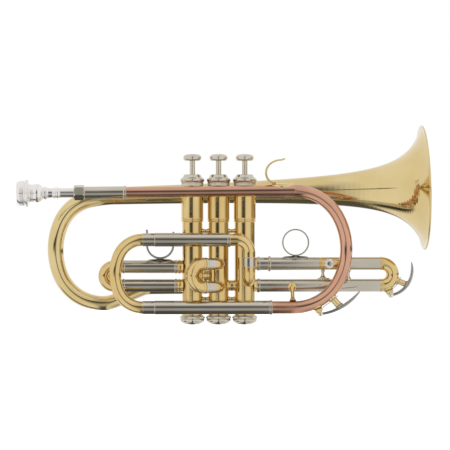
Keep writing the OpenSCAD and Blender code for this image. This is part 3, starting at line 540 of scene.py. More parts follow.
def tuning_slide():
    crook_low, crook_high = corners("tuning_crook")
    crook_r = half_size("tuning_crook")[1]
    seam = corners("tuning_outer_lower")[0][0]
    for name in ("tuning_outer_lower", "tuning_outer_upper"):
        low, high = corners(name)
        z = (low[2] + high[2]) / 2
        length = high[0] - low[0]
        proud = 0.35
        r = half_size(name)[1] - proud
        outline = softened([(r - 0.5, 0), (r, 0), (r, length - 2.4), (r + proud, length - 2.3),
                            (r + proud, length - 0.1), (r, length), (r - 0.4, length)], 0.2)
        piece(name + "_tube", [pipe((low[0], lead_y, z), (high[0], lead_y, z), outline, bore=r - WALL)],
              NICKEL, "root", [name])
        ferrule = softened([(5.7, 0), (6.1, 0.15), (6.1, seam - crook_high[0] - 0.15),
                            (5.8, seam - crook_high[0])], 0.15)
        piece(name.replace("outer", "ferrule"),
              [pipe((crook_high[0], lead_y, z), (seam, lead_y, z), ferrule)], NICKEL, "tuning_slide")
    dress(NICKEL, "tuning_inner_tubes")
    top = np.array([crook_high[0], lead_y, crook_high[2] - crook_r])
    rise = (crook_high[2] - crook_low[2]) / 2 - crook_r
    reach = crook_high[0] - crook_low[0] - crook_r
    path = half_oval(top, reach, rise, 24.3, -1)
    piece("tuning_crook_tube", [tube(path, crook_r, sides=72)], GOLD, "tuning_slide", ["tuning_crook"])


# ---- third valve inlet ----

def valve_inlet():
    ferrule_low, ferrule_high = corners("inlet_ferrule")
    x, y = middle("inlet_ferrule")[:2]
    r = half_size("inlet_ferrule")[0] - 0.5
    low, high = corners("valve_inlet_elbow")
    bend_r, elbow_r = 12, 8.4
    top_z, bottom_z = high[2] - r, low[2] + r
    upper = route((low[0], y, top_z), X, x - bend_r - low[0], (bend_r, 90, Y),
                  top_z - bend_r - ferrule_high[2])
    lower = route((x, y, ferrule_low[2]), -Z, ferrule_low[2] - bottom_z - elbow_r, (elbow_r, 90, X),
                  -y - elbow_r)
    piece("inlet_tube", [tube(upper, r), sweep(lower, circle(r, 56), side=X)], GOLD, "root",
          ["valve_inlet_elbow"])
    height = ferrule_high[2] - ferrule_low[2]
    outline = softened([(r - 0.2, -0.3), (r + 0.5, 0), (r + 0.5, height), (r - 0.2, height + 0.3)], 0.3)
    piece("inlet_ferrule_ring", [placed(turned(outline), along((x, y, ferrule_low[2]), Z))], NICKEL, "root",
          ["inlet_ferrule"])


# ---- valves ----

def casings():
    for i in (1, 2, 3):
        name = f"casing_{i}"
        axis = np.array([*middle(name)[:2], 0])
        upper_r = half_size(f"top_cap_{i}")[0] - 0.95
        lower_r = 9.5
        step = 28
        bottom = corners("bottom_caps")[1][2] - 0.01
        top = corners(f"top_cap_{i}")[0][2]
        outline = [(lower_r, bottom), (lower_r, step - 1.4), (upper_r + 0.2, step - 1.2),
                   (upper_r + 0.2, step - 0.4),
                   (upper_r - 0.25, step - 0.1), (upper_r - 0.25, step + 0.7), (upper_r + 0.2, step + 0.9),
                   (upper_r + 0.2, step + 1.6), (upper_r, step + 1.9), (upper_r, top)]
        piece(f"casing_{i}_barrel", [placed(turned(softened(outline, 0.3), 112), along(axis, Z))], GOLD,
              "root",
              [name])


def caps():
    bottom_low, bottom_high = corners("bottom_caps")
    bottom_shells = []
    for i in (1, 2, 3):
        low, high = corners(f"top_cap_{i}")
        axis = np.array([(low[0] + high[0]) / 2, 0, 0])
        z = low[2]
        outline = [(10.2, z), (10.4, z + 0.3), (10.4, z + 3.7), (10.9, z + 4.1), (11.35, z + 5),
                   (11.35, z + 6.2),
                   (10.9, z + 7), (9.8, z + 7.6), (8.9, z + 8.5), (8.2, z + 9.8), (7.7, high[2] - 0.2),
                   (7.2, high[2]), (3.1, high[2]), (2.95, high[2] - 0.3), (2.95, z + 8)]
        dense = softened(outline, 0.3)
        top = placed(turned(dense, 300, shape=knurl(60, 0.28, z + 0.6, z + 3.4)), along(axis, Z))
        piece(f"top_cap_{i}_shell", [top], NICKEL, "root", [f"top_cap_{i}"], 45)
        piece(f"cap_felt_{i}", [placed(turned(softened([(2.9, high[2] - 1.2), (5.2, high[2] - 1.2),
              (5.2, high[2] - 0.9), (2.9, high[2] - 0.8)], 0.1), 48), along(axis, Z))], FELT)
        z = bottom_high[2]
        outline = [(10.0, z), (10.6, z - 0.1), (11.1, z - 0.4), (11.1, z - 1), (11.75, z - 1.2),
                   (11.8, z - 1.5),
                   (11.8, z - 2.7), (11.75, z - 3), (11.4, z - 3.2), (11.4, z - 3.6), (11.6, z - 3.9),
                   (11.5, z - 5), (10.8, z - 6.2), (9.2, z - 7.4), (6.5, z - 8.4), (3.4, bottom_low[2]),
                   (2.4, bottom_low[2]), (1.6, bottom_low[2] + 0.6), (1.6, bottom_low[2] + 2.7)]
        ridges = knurl(72, 0.3, z - 2.75, z - 1.45)
        bottom_shells.append(placed(turned(softened(outline, 0.25)[::-1], 288, shape=ridges), along(axis, Z)))
    piece("bottom_cap_shells", bottom_shells, NICKEL, "root", ["bottom_caps"], 45)


def buttons():
    for i in (1, 2, 3):
        name, body = f"button_{i}", f"valve_{i}"
        axis = np.array([*middle(name)[:2], 0])
        z = corners(name)[0][2]
        rim = [(2.6, z), (6.5, z), (7.6, z + 0.4), (8.3, z + 1.3), (8.54, z + 2.5), (8.48, z + 3.6),
               (8.1, z + 4.6), (7.6, z + 5.1), (7.4, z + 5.0), (7.35, z + 4.3)]
        piece(f"{name}_cup", [placed(turned(softened(rim, 0.35), 112), along(axis, Z))], NICKEL, body, [name])
        dome = [(7.38, z + 4.2)] + arc_points((0, z + 4.85), (7.38, 1.7), range(0, 91, 10))
        piece(f"{name}_inlay", [placed(turned(dome, 96), along(axis, Z))], PEARL, body)
        low, high = corners(f"stem_{i}")
        stem_r = 2.6
        collar = 65.6
        stem = softened([(2.0, low[2]), (stem_r, low[2] + 0.1), (stem_r, high[2]), (2.2, high[2] + 0.05)],
                        0.1)
        guide = softened([(2.5, collar), (6.6, collar), (6.6, collar + 3.2), (2.5, collar + 3.2)], 0.4)
        piece(f"stem_{i}_rod", [placed(turned(stem, 64), along(axis, Z)),
                                placed(turned(guide, 64), along(axis, Z))],
              NICKEL, body, [f"stem_{i}"])
        dress(NICKEL, f"piston_{i}")
        dress(STEEL, f"spring_{i}")
        low, high = corners(f"spring_{i}")
        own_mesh(frame["nodes"][f"spring_{i}"])


def valve_links():
    """Short braces and cross tubes between the casings."""
    low, high = corners("casing_braces")
    half = 1.8
    braces = []
    for left, right in ((1, 2), (2, 3)):
        a, b = middle(f"casing_{left}"), middle(f"casing_{right}")
        for z in (low[2] + half, high[2] - half):
            outline = [(2.6, 8.2), (2.6, 9.6), (2.0, 10.4), (1.75, 11.2), (1.75, 13.5), (2.0, 14.3),
                       (2.6, 15.1),
                       (2.6, 16.5)]
            braces.append(placed(turned(softened(outline, 0.4), 48), along((a[0], 0, z), b - a)))
    piece("casing_brace_studs", braces, GOLD, "root", ["casing_braces"])
    tubes = []
    for (left, right), z in (((1, 2), corners("valve_cross_tubes")[1][2] - 5),
                             ((2, 3), corners("valve_cross_tubes")[0][2] + 5)):
        a, b = middle(f"casing_{left}"), middle(f"casing_{right}")
        span = b[0] - a[0]
        outline = [(5.6, 8.0), (5.5, 9.8), (5.0, 10.6), (5.0, span - 10.6), (5.5, span - 9.8),
                   (5.6, span - 8)]
        tubes.append(placed(turned(softened(outline, 0.5), 72), along((a[0], 0, z), X)))
    piece("valve_cross_tube_pair", tubes, GOLD, "root", ["valve_cross_tubes"])


# ---- first slide ----

def first_slide():
    low, high = corners("first_slide_outer")
    proud = 0.5
    r = half_size("first_slide_outer")[1] - proud
    seam = -39.2
    casing = middle("casing_1")[0] - 8.8
    legs, knuckles = [], []
    for z in (low[2] + r + proud, high[2] - r - proud):
        length = seam - low[0]
        outline = softened([(r - 0.5, 0), (r + 0.4, 0.05), (r + 0.4, 2.1), (r, 2.3), (r, length - 2.1),
                            (r + proud, length - 1.9), (r + proud, length - 0.1), (r - 0.3, length)], 0.25)
        legs.append(pipe((low[0], 0, z), (seam, 0, z), outline, bore=r - WALL))
        upper = z > (low[2] + high[2]) / 2
        swell = 0.7 if upper else 0.2
        span = casing - seam
        outline = softened([(r - 0.4, -0.3), (r - 0.1, 0), (r - 0.1, 0.8), (r + swell, 1.6), (r + swell, 2.8),
                            (r - 0.1, 3.6), (r + 0.1, span - 1.2), (r + 0.7, span)], 0.5, 4)
        knuckles.append(pipe((seam, 0, z), (casing, 0, z), outline))
    piece("first_slide_legs", legs, NICKEL, "root", ["first_slide_outer"])
    piece("first_slide_knuckles", knuckles, GOLD)
    dress(NICKEL, "first_slide_inner")

    low, high = corners("first_slide_crook")
    r = half_size("first_slide_crook")[1]
    bend_r = (high[2] - low[2]) / 2 - r
    straight = high[0] - low[0] - bend_r - r
    path = route((high[0], 0, high[2] - r), -X, straight, (bend_r, 180, -Y), straight)
    piece("first_slide_bow", [tube(path, r)], GOLD, "first_slide", ["first_slide_crook"])


def thumb_saddle():
    low, high = corners("thumb_saddle")
    centre_x = (low[0] + high[0]) / 2
    band, width, outer_r, arm_gap = 1.9, 12, 13.35, 2
    r = outer_r - band / 2
    leg_top = corners("first_slide_outer")[1][2] - 0.5
    cz = high[2] - 14.5
    left_arm = high[2] - cz - 0.6
    path = route((centre_x - r, 0, high[2] - 0.6), -Z, left_arm, (r, 180, -Y), left_arm - arm_gap)
    strap = sweep(path, rounded_bar(band, width, 0.7), side=Y)
    lips = [sweep(route((centre_x + s * (r + 0.1), -width / 2 + 0.6, z), Y, width - 1.2), circle(1.0, 20),
                  side=X)
            for s, z in ((-1, high[2] - 1.05), (1, high[2] - 1.05 - arm_gap))]
    foot = saddle_plate((centre_x, 0, leg_top - 6), X, Z, 6, 12, 62, 1.1)
    web = placed(turned(softened([(5.2, -0.8), (4.6, 0.4), (3.6, 1.0), (3.0, 1.9)], 0.5), 64),
                 along((centre_x, 0, leg_top + 0.2), Z))
    piece("thumb_saddle_strap", [strap, *lips, foot, web], DULL, "root", ["thumb_saddle"])


# ---- second slide ----

def second_slide():
    heading = np.array(JOINTS["second_slide_pull"]["axis"])
    low, high = corners("second_slide_elbows")
    r = 5.5
    elbow_r, casing_side = 7.5, -10.1
    turn = 270 - (math.degrees(math.atan2(heading[1], heading[0])) % 360)
    up_z, low_z = high[2] - r, low[2] + r
    open_at, crook_at = 10.6, 10.7
    elbows, outers, rings = [], [], []
    for z in (up_z, low_z):
        path = route((0, -8.6, z), -Y, -casing_side - 8.6, (elbow_r, -turn, Z))
        elbows.append(sweep(path, circle(r, 56), side=Z))
        start = path[0][-1]
        outline = softened([(r - 0.4, 0), (r, 0), (r, open_at - 2.5), (r + 0.6, open_at - 2.3),
                            (r + 0.6, open_at - 0.1), (r - 0.2, open_at)], 0.25)
        outers.append(placed(turned(outline + [(r - WALL, open_at), (r - WALL, 0)], 72, ring=True),
                             along(start, heading)))
        ring = softened([(r - 0.4, 0), (r + 0.5, 0.1), (r + 0.5, 2.1), (r - 0.2, 2.3)], 0.3)
        rings.append(placed(turned(ring, 72), along(start + heading * crook_at, heading)))
    piece("second_slide_elbow_pair", elbows, GOLD, "root", ["second_slide_elbows"])
    piece("second_slide_legs", outers, NICKEL, "root", ["second_slide_outer"])
    dress(NICKEL, "second_slide_inner")
    base = start.copy()
    base[2] = up_z
    bend_r = (up_z - low_z) / 2
    bend = route(base + heading * (crook_at + 2.2), heading, (bend_r, 180, np.cross(Z, heading)))
    piece("second_slide_bow", [sweep(bend, circle(r - 0.1, 56), side=np.cross(Z, heading)), *rings], GOLD,
          "second_slide", ["second_slide_crook"])
    mid = base + heading * (crook_at + 2)
    mid[2] = (up_z + low_z) / 2
    knob = softened([(0.05, -6.2), (1.4, -6.2), (2.4, -5.8), (2.4, -4.8), (1.8, -4.4), (1.8, -3.8),
                     (2.6, -3.4),
                     (2.6, -2), (2, -1.6), (2, 0.4), (2.7, 0.9), (3.3, 2.1), (3.3, 2.8), (2.7, 4), (1.5, 4.9),
                     (0.05, 5.2)], 0.5, 4)
    half = bend_r - r - 0.2
    bar = softened([(1.9, -half), (1.0, -half + 1.4), (1.0, half - 1.4), (1.9, half)], 0.8, 4)
    piece("second_slide_pull_knob", [placed(turned(knob, 64), along(mid, heading)),
          placed(turned(bar, 32), along(mid - heading * 0.9, Z))], GOLD, "second_slide",
          ["second_slide_knob"])


# ---- third slide ----

LEG_R = 6
CUFF = 1.4                      # length of the third crook's cuffs


def brace_outline(span):
    """Turned post that flares into the tube at each end."""
    return softened([(3.9, 0), (3.9, 1.2), (3.0, 2.4), (2.2, 4.0), (1.75, 5.6), (1.75, span / 2 - 0.9),
                     (2.2, span / 2 - 0.5), (2.2, span / 2 + 0.5), (1.75, span / 2 + 0.9), (1.75, span - 5.6),
                     (2.2, span - 4.0), (3.0, span - 2.4), (3.9, span - 1.2), (3.9, span)], 0.6, 4)


def third_slide():
    crook_low, crook_high = corners("third_slide_crook")
    cuff_r = LEG_R + 0.4
    up_z, low_z = crook_high[2] - cuff_r, crook_low[2] + cuff_r
    open_x = corners("third_slide_outer")[1][0]
    casing = middle("casing_3")[0] + 8.8
    brass_x = 95.2
    nickel_parts, brass_parts = [], []
    for z in (up_z, low_z):
        collar = softened([(LEG_R - 0.3, 36.1), (LEG_R + 0.5, 36.3), (LEG_R + 0.5, 39.0), (LEG_R, 39.2)],
                          0.25)
        start = 36.2
        outline = [(r, x - start) for r, x in collar]
        if z == up_z:
            outline += [(r, x - start) for r, x in softened([(LEG_R, 46.7), (LEG_R + 1.2, 46.9),
                                                             (LEG_R + 1.2, 49.1),
                                                             (LEG_R, 49.4)], 0.3)]
        outline += [(LEG_R, brass_x - start), (LEG_R - 0.3, brass_x - start)]
        nickel_parts.append(pipe((start, 0, z), (brass_x, 0, z), outline))
        knuckle = softened([(LEG_R + 0.6, 0), (LEG_R, 1.2), (LEG_R - 0.1, 36.3 - casing)], 0.4)
        brass_parts.append(pipe((casing, 0, z), (36.3, 0, z), knuckle))
        groove = [(LEG_R, 0.9), (LEG_R - 0.12, 1.1), (LEG_R - 0.12, 1.5), (LEG_R, 1.7)] if z == up_z else []
        sleeve = softened([(LEG_R - 0.3, 0), (LEG_R, 0.05), *groove, (LEG_R, open_x - brass_x - 0.2),
                           (LEG_R - 0.2, open_x - brass_x)], 0.15)
        part = pipe((brass_x, 0, z), (open_x, 0, z), sleeve, bore=LEG_R - WALL)
        (brass_parts if z == up_z else nickel_parts).append(part)
    piece("third_slide_legs", nickel_parts, NICKEL, "root", ["third_slide_outer"])
    screw = np.array(JOINTS["lock_screw_turn"]["pos_m"]) * 1000
    boss = softened([(3.6, -LEG_R + 0.6), (3.0, -LEG_R - 0.6), (3.0, screw[1] + 0.1), (2.4, screw[1])], 0.4)
    boss = [(r, -h) for r, h in boss]
    brass_parts.append(placed(turned(boss, 48), along((screw[0], 0, screw[2]), -Y)))
    piece("third_slide_sleeves", brass_parts, GOLD)
    head = softened([(1.6, 0.05), (4.1, 0.05), (4.7, 0.6), (4.7, 2.2), (4.1, 2.8), (2.3, 2.8), (1.9, 2.2),
                     (0.05, 2.1)], 0.3)
    shank = [(1.6, -2.3), (1.6, 0.2)]
    # Painted reflection: a darker steel cap in the head's recess stands in for the dark surroundings that the
    # screw's middle reflects.
    painted_dark_centre = softened([(2.1, 2.0), (2.1, 2.35), (1.5, 2.5), (0.02, 2.55)], 0.2)
    piece("lock_screw_painted_dark_centre", [placed(turned(painted_dark_centre, 40), along(screw, -Y))], STEEL, "lock_screw")
    piece("lock_screw_head", [placed(turned(head, 240, shape=knurl(40, 0.22, 0.5, 2.3)), along(screw, -Y)),
          placed(turned(shank, 24), along(screw, -Y))], SILVER, "lock_screw", ["lock_screw"], 45)

    moving_x, cuff_x = open_x + 0.1, crook_low[0]
    moving = [pipe((moving_x, 0, z), (cuff_x, 0, z), softened([(LEG_R - 0.3, 0), (LEG_R, 0.15),
              (LEG_R, cuff_x - moving_x)], 0.15)) for z in (up_z, low_z)]
    piece("third_slide_cover_tubes", moving, NICKEL, "third_slide", ["third_slide_moving_tubes"])
    dress(NICKEL, "third_slide_inner")
    bend_r = (up_z - low_z) / 2
    r = crook_high[0] - bend_r - cuff_x - CUFF
    path = route((cuff_x + CUFF, 0, up_z), X, (bend_r, 180, Y))
    cuffs = [pipe((cuff_x, 0, z), (cuff_x + CUFF, 0, z), softened([(LEG_R, 0), (cuff_r, 0.15),
             (cuff_r, CUFF - 0.2), (r, CUFF)], 0.15)) for z in (up_z, low_z)]
    piece("third_slide_bow", [tube(path, r), *cuffs], GOLD, "third_slide", ["third_slide_crook"])
    brace_x = middle("third_slide_moving_brace")[0]
    span = up_z - low_z - 2 * (LEG_R - 1.1)
    post = placed(turned(brace_outline(span), 48), along((brace_x, 0, low_z + LEG_R - 1.1), Z))
    piece("third_slide_moving_post", [post], NICKEL, "third_slide", ["third_slide_moving_brace"])
    return up_z, low_z, span


def finger_ring():
    bore = MOUNTS["finger_ring"]["dims"]
    centre = np.array(MOUNTS["finger_ring"]["pos_m"]) * 1000
    band = 1.2
    r = bore["r_mm"] + band / 2
    path = route(centre + Z * r, X, (r, 360, Y))
    ring = sweep(path, rounded_bar(band, bore["length_mm"], 0.5), side=Y, ring=True)
    leg_z = corners("third_slide_outer")[1][2] - LEG_R - 1.2
    foot = saddle_plate((centre[0], 0, leg_z), X, Z, LEG_R, 12.4, 60, 1.2)
    web = placed(turned(softened([(5.0, -0.9), (4.0, 0.2), (2.9, 0.9), (2.6, 1.6)], 0.5), 64),
                 along((centre[0], 0, leg_z + LEG_R + 0.4), Z))
    piece("finger_ring_band", [ring, foot, web], DULL, "root", ["finger_ring"])


# ---- bell ----

BELL_R, BELL_STEM_R, FLARE, BELL_LEN = half_size("bell")[1] - 0.02, 5, 18.6, 295.3
bell_axis = np.array(MOUNTS["bell_throat"]["axis"])
throat = np.array(MOUNTS["bell_throat"]["pos_m"]) * 1000
bell_rim = throat + bell_axis * (corners("bell")[1][0] - 2.0 - throat[0]) / bell_axis[0]


def bell_radius(d):
    return BELL_STEM_R + (BELL_R - BELL_STEM_R) * FLARE / (d + FLARE)


def bell():
    depths = BELL_LEN * np.linspace(0, 1, 66) ** 2.4
    outer = [(bell_radius(d), d) for d in depths if d > 1.2]
    inner = [(bell_radius(d) - WALL, d) for d in depths[::-1] if d > 1.5]
    bead_r, bead_at = 1.0, (BELL_R - 1.0, 0.6)
    bead = arc_points(bead_at, (bead_r, bead_r), range(-150, 61, 14))
    outline = inner + bead + outer
    shape = placed(turned(outline, 176, ring=True), along(bell_rim, -bell_axis))
    piece("bell_flare", [shape], BRASS, "root", ["bell"], 60)


def bell_tail():
    """From the bell's small end round the rear bow to casing 1."""
    tail_r = (bell_radius(BELL_LEN), 6.2)
    start = bell_rim - bell_axis * BELL_LEN
    tilt = math.degrees(math.asin(bell_axis[2]))
    casing = middle("casing_1")
    elbow_r = 10
    bends = [(116, 11.6), (40, 54), (64, 45), (43, 67.5), (30, 23.4)]
    legs = [(radius, turn, -Y) for radius, turn in bends] + [27, (26, -21.5 - tilt, -Y)]
    path = route(start, -bell_axis, *legs)
    path = extended(path, casing[0] - elbow_r - path[0][-1][0])
    end = path[0][-1]
    elbow = route(end, X, (elbow_r, -90, Z), end[1] - elbow_r - 8.9)
    piece("bell_tail_tube", [hollow_tube(path, *tail_r, sides=72)], BRASS, "root", ["bell_tail"])
    piece("tail_elbow_tube", [sweep(elbow, circle(tail_r[1], 56), side=Z)], BRASS, "root", ["tail_elbow"])


def pinky_hook():
    high = corners("pinky_hook")[1]
    thickness, width, foot_start = 2.1, 7.8, 48.6
    start = np.array([53.1, lead_y, 62.9])
    arcs = [(9, 62), (10.5, 75), (16, 40), (9, -30)]
    path = route(start, -X, *[(radius, turn, Y) for radius, turn in arcs])
    taper = 1 - 0.3 * lengths(path[0]) ** 2
    hook = sweep(path, rounded_bar(thickness, width, 0.75), side=Y, scales=taper)
    x = (foot_start + high[0]) / 2
    centre = bow_start + lead_axis * (x - bow_start[0])
    foot = saddle_plate(centre, lead_axis, np.cross(-lead_axis, Y) * -1, 5.6, (high[0] - foot_start) / 2, 55,
                        1.4)
    return piece("pinky_hook_strap", [hook, foot], BRASS, "root", ["pinky_hook"])


# ---- braces ----

def post(a, b, foot=4.2, waist=1.9):
    """Round brace between two points with a turned bead at its middle and a flared foot at each end."""
    a, b = np.array(a, float), np.array(b, float)
    span = np.linalg.norm(b - a)
    outline = softened([(foot, 0), (foot, 0.9), (waist + 0.8, 1.7), (waist, 3.0), (waist, span / 2 - 1.6),
                        (waist + 0.9, span / 2 - 0.6), (waist + 0.9, span / 2 + 0.6), (waist, span / 2 + 1.6),
                        (waist, span - 3.0), (waist + 0.8, span - 1.7), (foot, span - 0.9), (foot, span)],
                       0.6, 4)
    return placed(turned(outline, 56), along(a, b - a))


def tube_braces(low_z, span):
    long_z = 55.2
    shapes = []
    bell_y = throat[1]
    for x in (-62, 48):
        shapes.append(post((x, lead_y + 4.2, long_z),
                           (x, bell_y - bell_radius(bell_rim[0] - x) + 0.7, long_z)))
    for i in (1, 3):
        x = middle(f"casing_{i}")[0]
        shapes.append(pipe((x, lead_y + 4, long_z), (x, -9.8, long_z), radius=2.6))
        shapes.append(pipe((x, 9.8, long_z), (x, bell_y - 5.8, long_z), radius=2.6))
    tuning_up, tuning_low = middle("tuning_outer_upper")[2], middle("tuning_outer_lower")[2]
    for i, z in ((1, tuning_up), (2, tuning_up), (1, tuning_low), (3, tuning_low)):
        x = middle(f"casing_{i}")[0]
        shapes.append(pipe((x, lead_y + 5.9, z), (x, -9.2, z), radius=2.6))
    slim_x = 98.6
    slim = softened([(3.6, 0), (3.6, 2.4), (2.2, 3.6), (1.3, 5.6), (1.3, span - 3.6), (1.9, span - 2.8),
                     (1.9, span)], 0.6, 4)
    shapes.append(placed(turned(slim, 48), along((slim_x, 0, low_z + LEG_R - 1.1), Z)))
    shapes.append(saddle_plate((slim_x + 0.9, 0, low_z), X, Z, LEG_R, 6.4, 24, 1.2))
    piece("tube_brace_posts", shapes, NICKEL, "root", ["tube_braces"])
    disc_x = 69.2
    disc = [(3.6, 0), (4.4, 0.3), (4.4, 0.9)] + arc_points((0, 0.9), (4.4, 2.2),
                                                           range(8, 90, 9)) + [(0.02, 3.1)]
    top, foot = np.array([disc_x, -6.6, low_z - 2]), np.array([disc_x, lead_y + 1, bow_low_z + BOW_R - 0.4])
    reach = np.linalg.norm(foot - top)
    stay = pipe(top, foot, softened([(2.6, 0), (1.8, 3.5), (1.7, reach - 6), (2.0, reach - 3.5),
                                     (3.0, reach - 1.6), (3.4, reach)], 1.5, 5))
    piece("bow_brace_stay", [placed(turned(disc, 64), along((disc_x, -4.05, low_z - 1), -Y)), stay], GOLD)


# ---- water keys ----

def water_key(name, body, centre, bend_r, tube_r, saddle_at, pivot_r, chimney_at, chimney_r, chimney_end,
              control):
    """A sprung drain key on the outside of a bend. Angles are about the bend's centre, from +X to +Z."""
    centre = np.array(centre, float)
    gap, ear, cork_t = 4.6, 1.1, 1.2

    def polar(angle, radius, y=0.0):
        a = math.radians(angle)
        return centre + np.array([radius * math.cos(a), y, radius * math.sin(a)])

    def outward(angle):
        return unit(polar(angle, 1) - centre)

    foot_r = bend_r + tube_r
    chimney = placed(turned(softened([(chimney_r + 1.1, foot_r - 1.6), (chimney_r + 1.1, foot_r + 0.3),
                                      (chimney_r + 0.6, foot_r + 0.7), (chimney_r, foot_r + 0.9),
                                      (chimney_r, chimney_end - 0.2), (chimney_r - 0.3, chimney_end)], 0.3),
                            56),
                     along(centre, outward(chimney_at)))
    pivot = polar(saddle_at, pivot_r)
    ears = []
    base = bend_r + tube_r
    radial, along_bend = outward(saddle_at), unit(np.cross(Y, outward(saddle_at)))
    for s in (-1, 1):
        y = s * (gap + ear) / 2
        outline = [(base - 1.2 - pivot_r, 4.2), (base + 0.3 - pivot_r, 3.6), (-2.6, 2.5), (-1.2, 2.3)]
        arc = arc_points((0, 0), (2.3, 2.3), range(80, -81, -16))
        full = outline + arc + [(p[0], -p[1]) for p in outline[::-1]]
        loops = []
        for depth, shrink in ((-ear / 2, 0.85), (-ear / 2 + 0.2, 1), (ear / 2 - 0.2, 1), (ear / 2, 0.85)):
            loops.append(np.array([pivot + radial * p * shrink + along_bend * q * shrink + Y * (y + depth)
                                   for p, q in full]))
        ears.append(skin(loops))
    beads = []
    for s in (-1, 1):
        bead = arc_points((0, 0), (1.5, 1.5), range(-90, 91, 15))
        bead_at = pivot - radial * (pivot_r - base) * 0.62 + along_bend * 2.2 * s - Y * (gap / 2 + ear - 0.5)
        beads.append(placed(turned(bead, 32), along(bead_at, Y)))
    yoke = saddle_plate(centre + radial * bend_r, along_bend, radial, tube_r, 4.4, 55, 0.8)
    piece(f"{name}_saddle_body", [chimney, yoke, *ears, *beads], BRASS, body, [f"{name}_saddle"])
    rod = softened([(0.2, -gap / 2 - ear - 0.9), (1.5, -gap / 2 - ear - 0.85), (1.9, -gap / 2 - ear - 0.3),
                    (1.0, -gap / 2 - ear), (1.0, gap / 2 + ear), (1.9, gap / 2 + ear + 0.3),
                    (1.5, gap / 2 + ear + 0.85), (0.2, gap / 2 + ear + 0.9)], 0.25)
    piece(f"{name}_pivot_rod", [placed(turned(rod, 32), along(pivot, Y))], SILVER, body)

    key_body = name
    steps = 28
    u = np.linspace(0, 1, steps)[:, None]
    c = np.array(control, float)
    line = (1 - u) ** 2 * c[0] + 2 * u * (1 - u) * c[1] + u ** 2 * c[2]
    points = np.array([polar(a, r) for a, r in line])
    heads = np.gradient(points, axis=0)
    heads = heads / np.linalg.norm(heads, axis=1)[:, None]
    leaf = np.interp(u[:, 0], [0, 0.2, 0.55, 0.85, 0.96, 1], [0.8, 0.92, 1.1, 0.85, 0.5, 0.2])
    bar = sweep((points, heads), rounded_bar(2.9, 4.1, 0.9), side=Y, scales=leaf)
    cup = placed(turned(softened([(chimney_r - 0.1, chimney_end + cork_t - 0.6),
                                  (chimney_r + 0.5, chimney_end + 0.7),
                                  (chimney_r + 0.6, chimney_end + cork_t),
                                  (chimney_r + 0.3, chimney_end + 2.3),
                                  (chimney_r - 1.2, chimney_end + 2.9), (0.1, chimney_end + 3.0)], 0.4, 4),
                        56),
                 along(centre, outward(chimney_at)))
    barrels = [placed(turned(softened([(1.05, 0), (1.9, 0.05), (1.9, 0.95), (1.05, 1.0)], 0.2), 32),
                      along(pivot + Y * y, Y)) for y in (-gap / 2 + 0.1, gap / 2 - 1.1)]
    piece(f"{name}_lever_arm", [bar, cup, *barrels], STEEL, key_body, [f"{name}_lever"])
    pad = placed(turned(softened([(0.05, chimney_end + 0.02), (chimney_r, chimney_end + 0.02),
                                  (chimney_r, chimney_end + cork_t), (0.05, chimney_end + cork_t)], 0.25),
                        40),
                 along(centre, outward(chimney_at)))
    piece(f"{name}_cork_pad", [pad], CORK, key_body, [f"{name}_cork"])
    turns, coil_r = 3, 1.75
    coil = []
    for k in range(turns * 16 + 1):
        a = 2 * math.pi * k / 16
        coil.append(pivot + coil_r * (math.cos(a) * radial + math.sin(a) * along_bend)
                    + Y * (-0.8 + 1.6 * k / (turns * 16)))
    clear_y = -chimney_r - 0.9
    away = (chimney_r + 2.5) / pivot_r * 180 / math.pi
    arm = [coil[-1], polar(saddle_at + 5, foot_r + 1.6, -1.4),
           polar(chimney_at - away, foot_r + 0.8, clear_y),
           polar(chimney_at, foot_r + 1.1, clear_y), polar(chimney_at + away, foot_r + 1.6, clear_y + 1.2)]
    piece(f"{name}_coil_spring", [wire(coil, 0.26, 8), wire(arm, 0.3, 8)], STEEL, body, [f"{name}_spring"])


def water_keys(up_z, low_z):
    bow_centre = (bow_start[0], lead_y, bow_low_z + BOW_END_R)
    water_key("bow_key", "root", bow_centre, BOW_END_R, BOW_R, -65, 58.6, -47, 3.3, 61,
              [(-65, 58.6), (-52, 63.2), (-27, 69.6)])
    slide_centre = (corners("third_slide_crook")[0][0] + CUFF, 0, (up_z + low_z) / 2)
    water_key("slide_key", "third_slide", slide_centre, (up_z - low_z) / 2, 6, -66, 21.4, -22, 2.8, 23.6,
              [(-66, 21.4), (-26, 26.2), (22.5, 30.6)])


# ---- studio ----

# The studio's lights and dark boards, in degrees: brightness, middle, half width and width of the soft edge
ROOM = 0.1  # the dim room on the camera's side
CEILING_BOX = (0.9, 115, 65, 35)  # softbox from above the camera back to the backdrop
LOW_STRIP = (0.5, -30, 10, 25)  # strip light below the camera
BACKDROP_FOOT = (0.9, -180, 0, 30)  # where the backdrop meets the floor
BELL_CARD = (0.8, 12, 7, 1)  # pale card on the bell's side of the camera
SIDE_WALLS = 0.95
CAMERA_FLAG = (0.05, -15, 10, 20)  # dark board beside the camera
REAR_SCREEN = (0.15, 110, 25, 25)  # dark screen behind, on the bell's side
CAMERA_GAP = (0.5, 0, 0, 15)  # gap between the side walls, where the camera stands
FLOOR_BOARD = (0.05, -100, 5, 15)  # dark board on the floor, on the mouthpiece side
FLOOR_BOARD_SPAN = (-30, 20, 10)
EYE_LEVEL = (0, 1, 2)  # the height at which the side boards stand
FLOOR_SHADE = 0.8  # how much darker the floor gets on the bell's side, straight below
FLOOR_SHADE_TOP, FLOOR_SHADE_FALL, FLOOR_SHADE_EDGE = -40, 50, 12
ROOM_REACH = (5, 15)  # how far the dim room reaches towards the mouthpiece and towards the bell


def band(angle, middle, half_width, edge):
    """1 within half_width of the middle, falling to 0 over the soft edge."""
    return np.clip((half_width + edge - np.abs(angle - middle)) / edge, 0, 1)


def lit(base, angle, light):
    """The base brightness with one light or dark board laid over it."""
    brightness, *place = light
    return base + (brightness - base) * band(angle, *place)


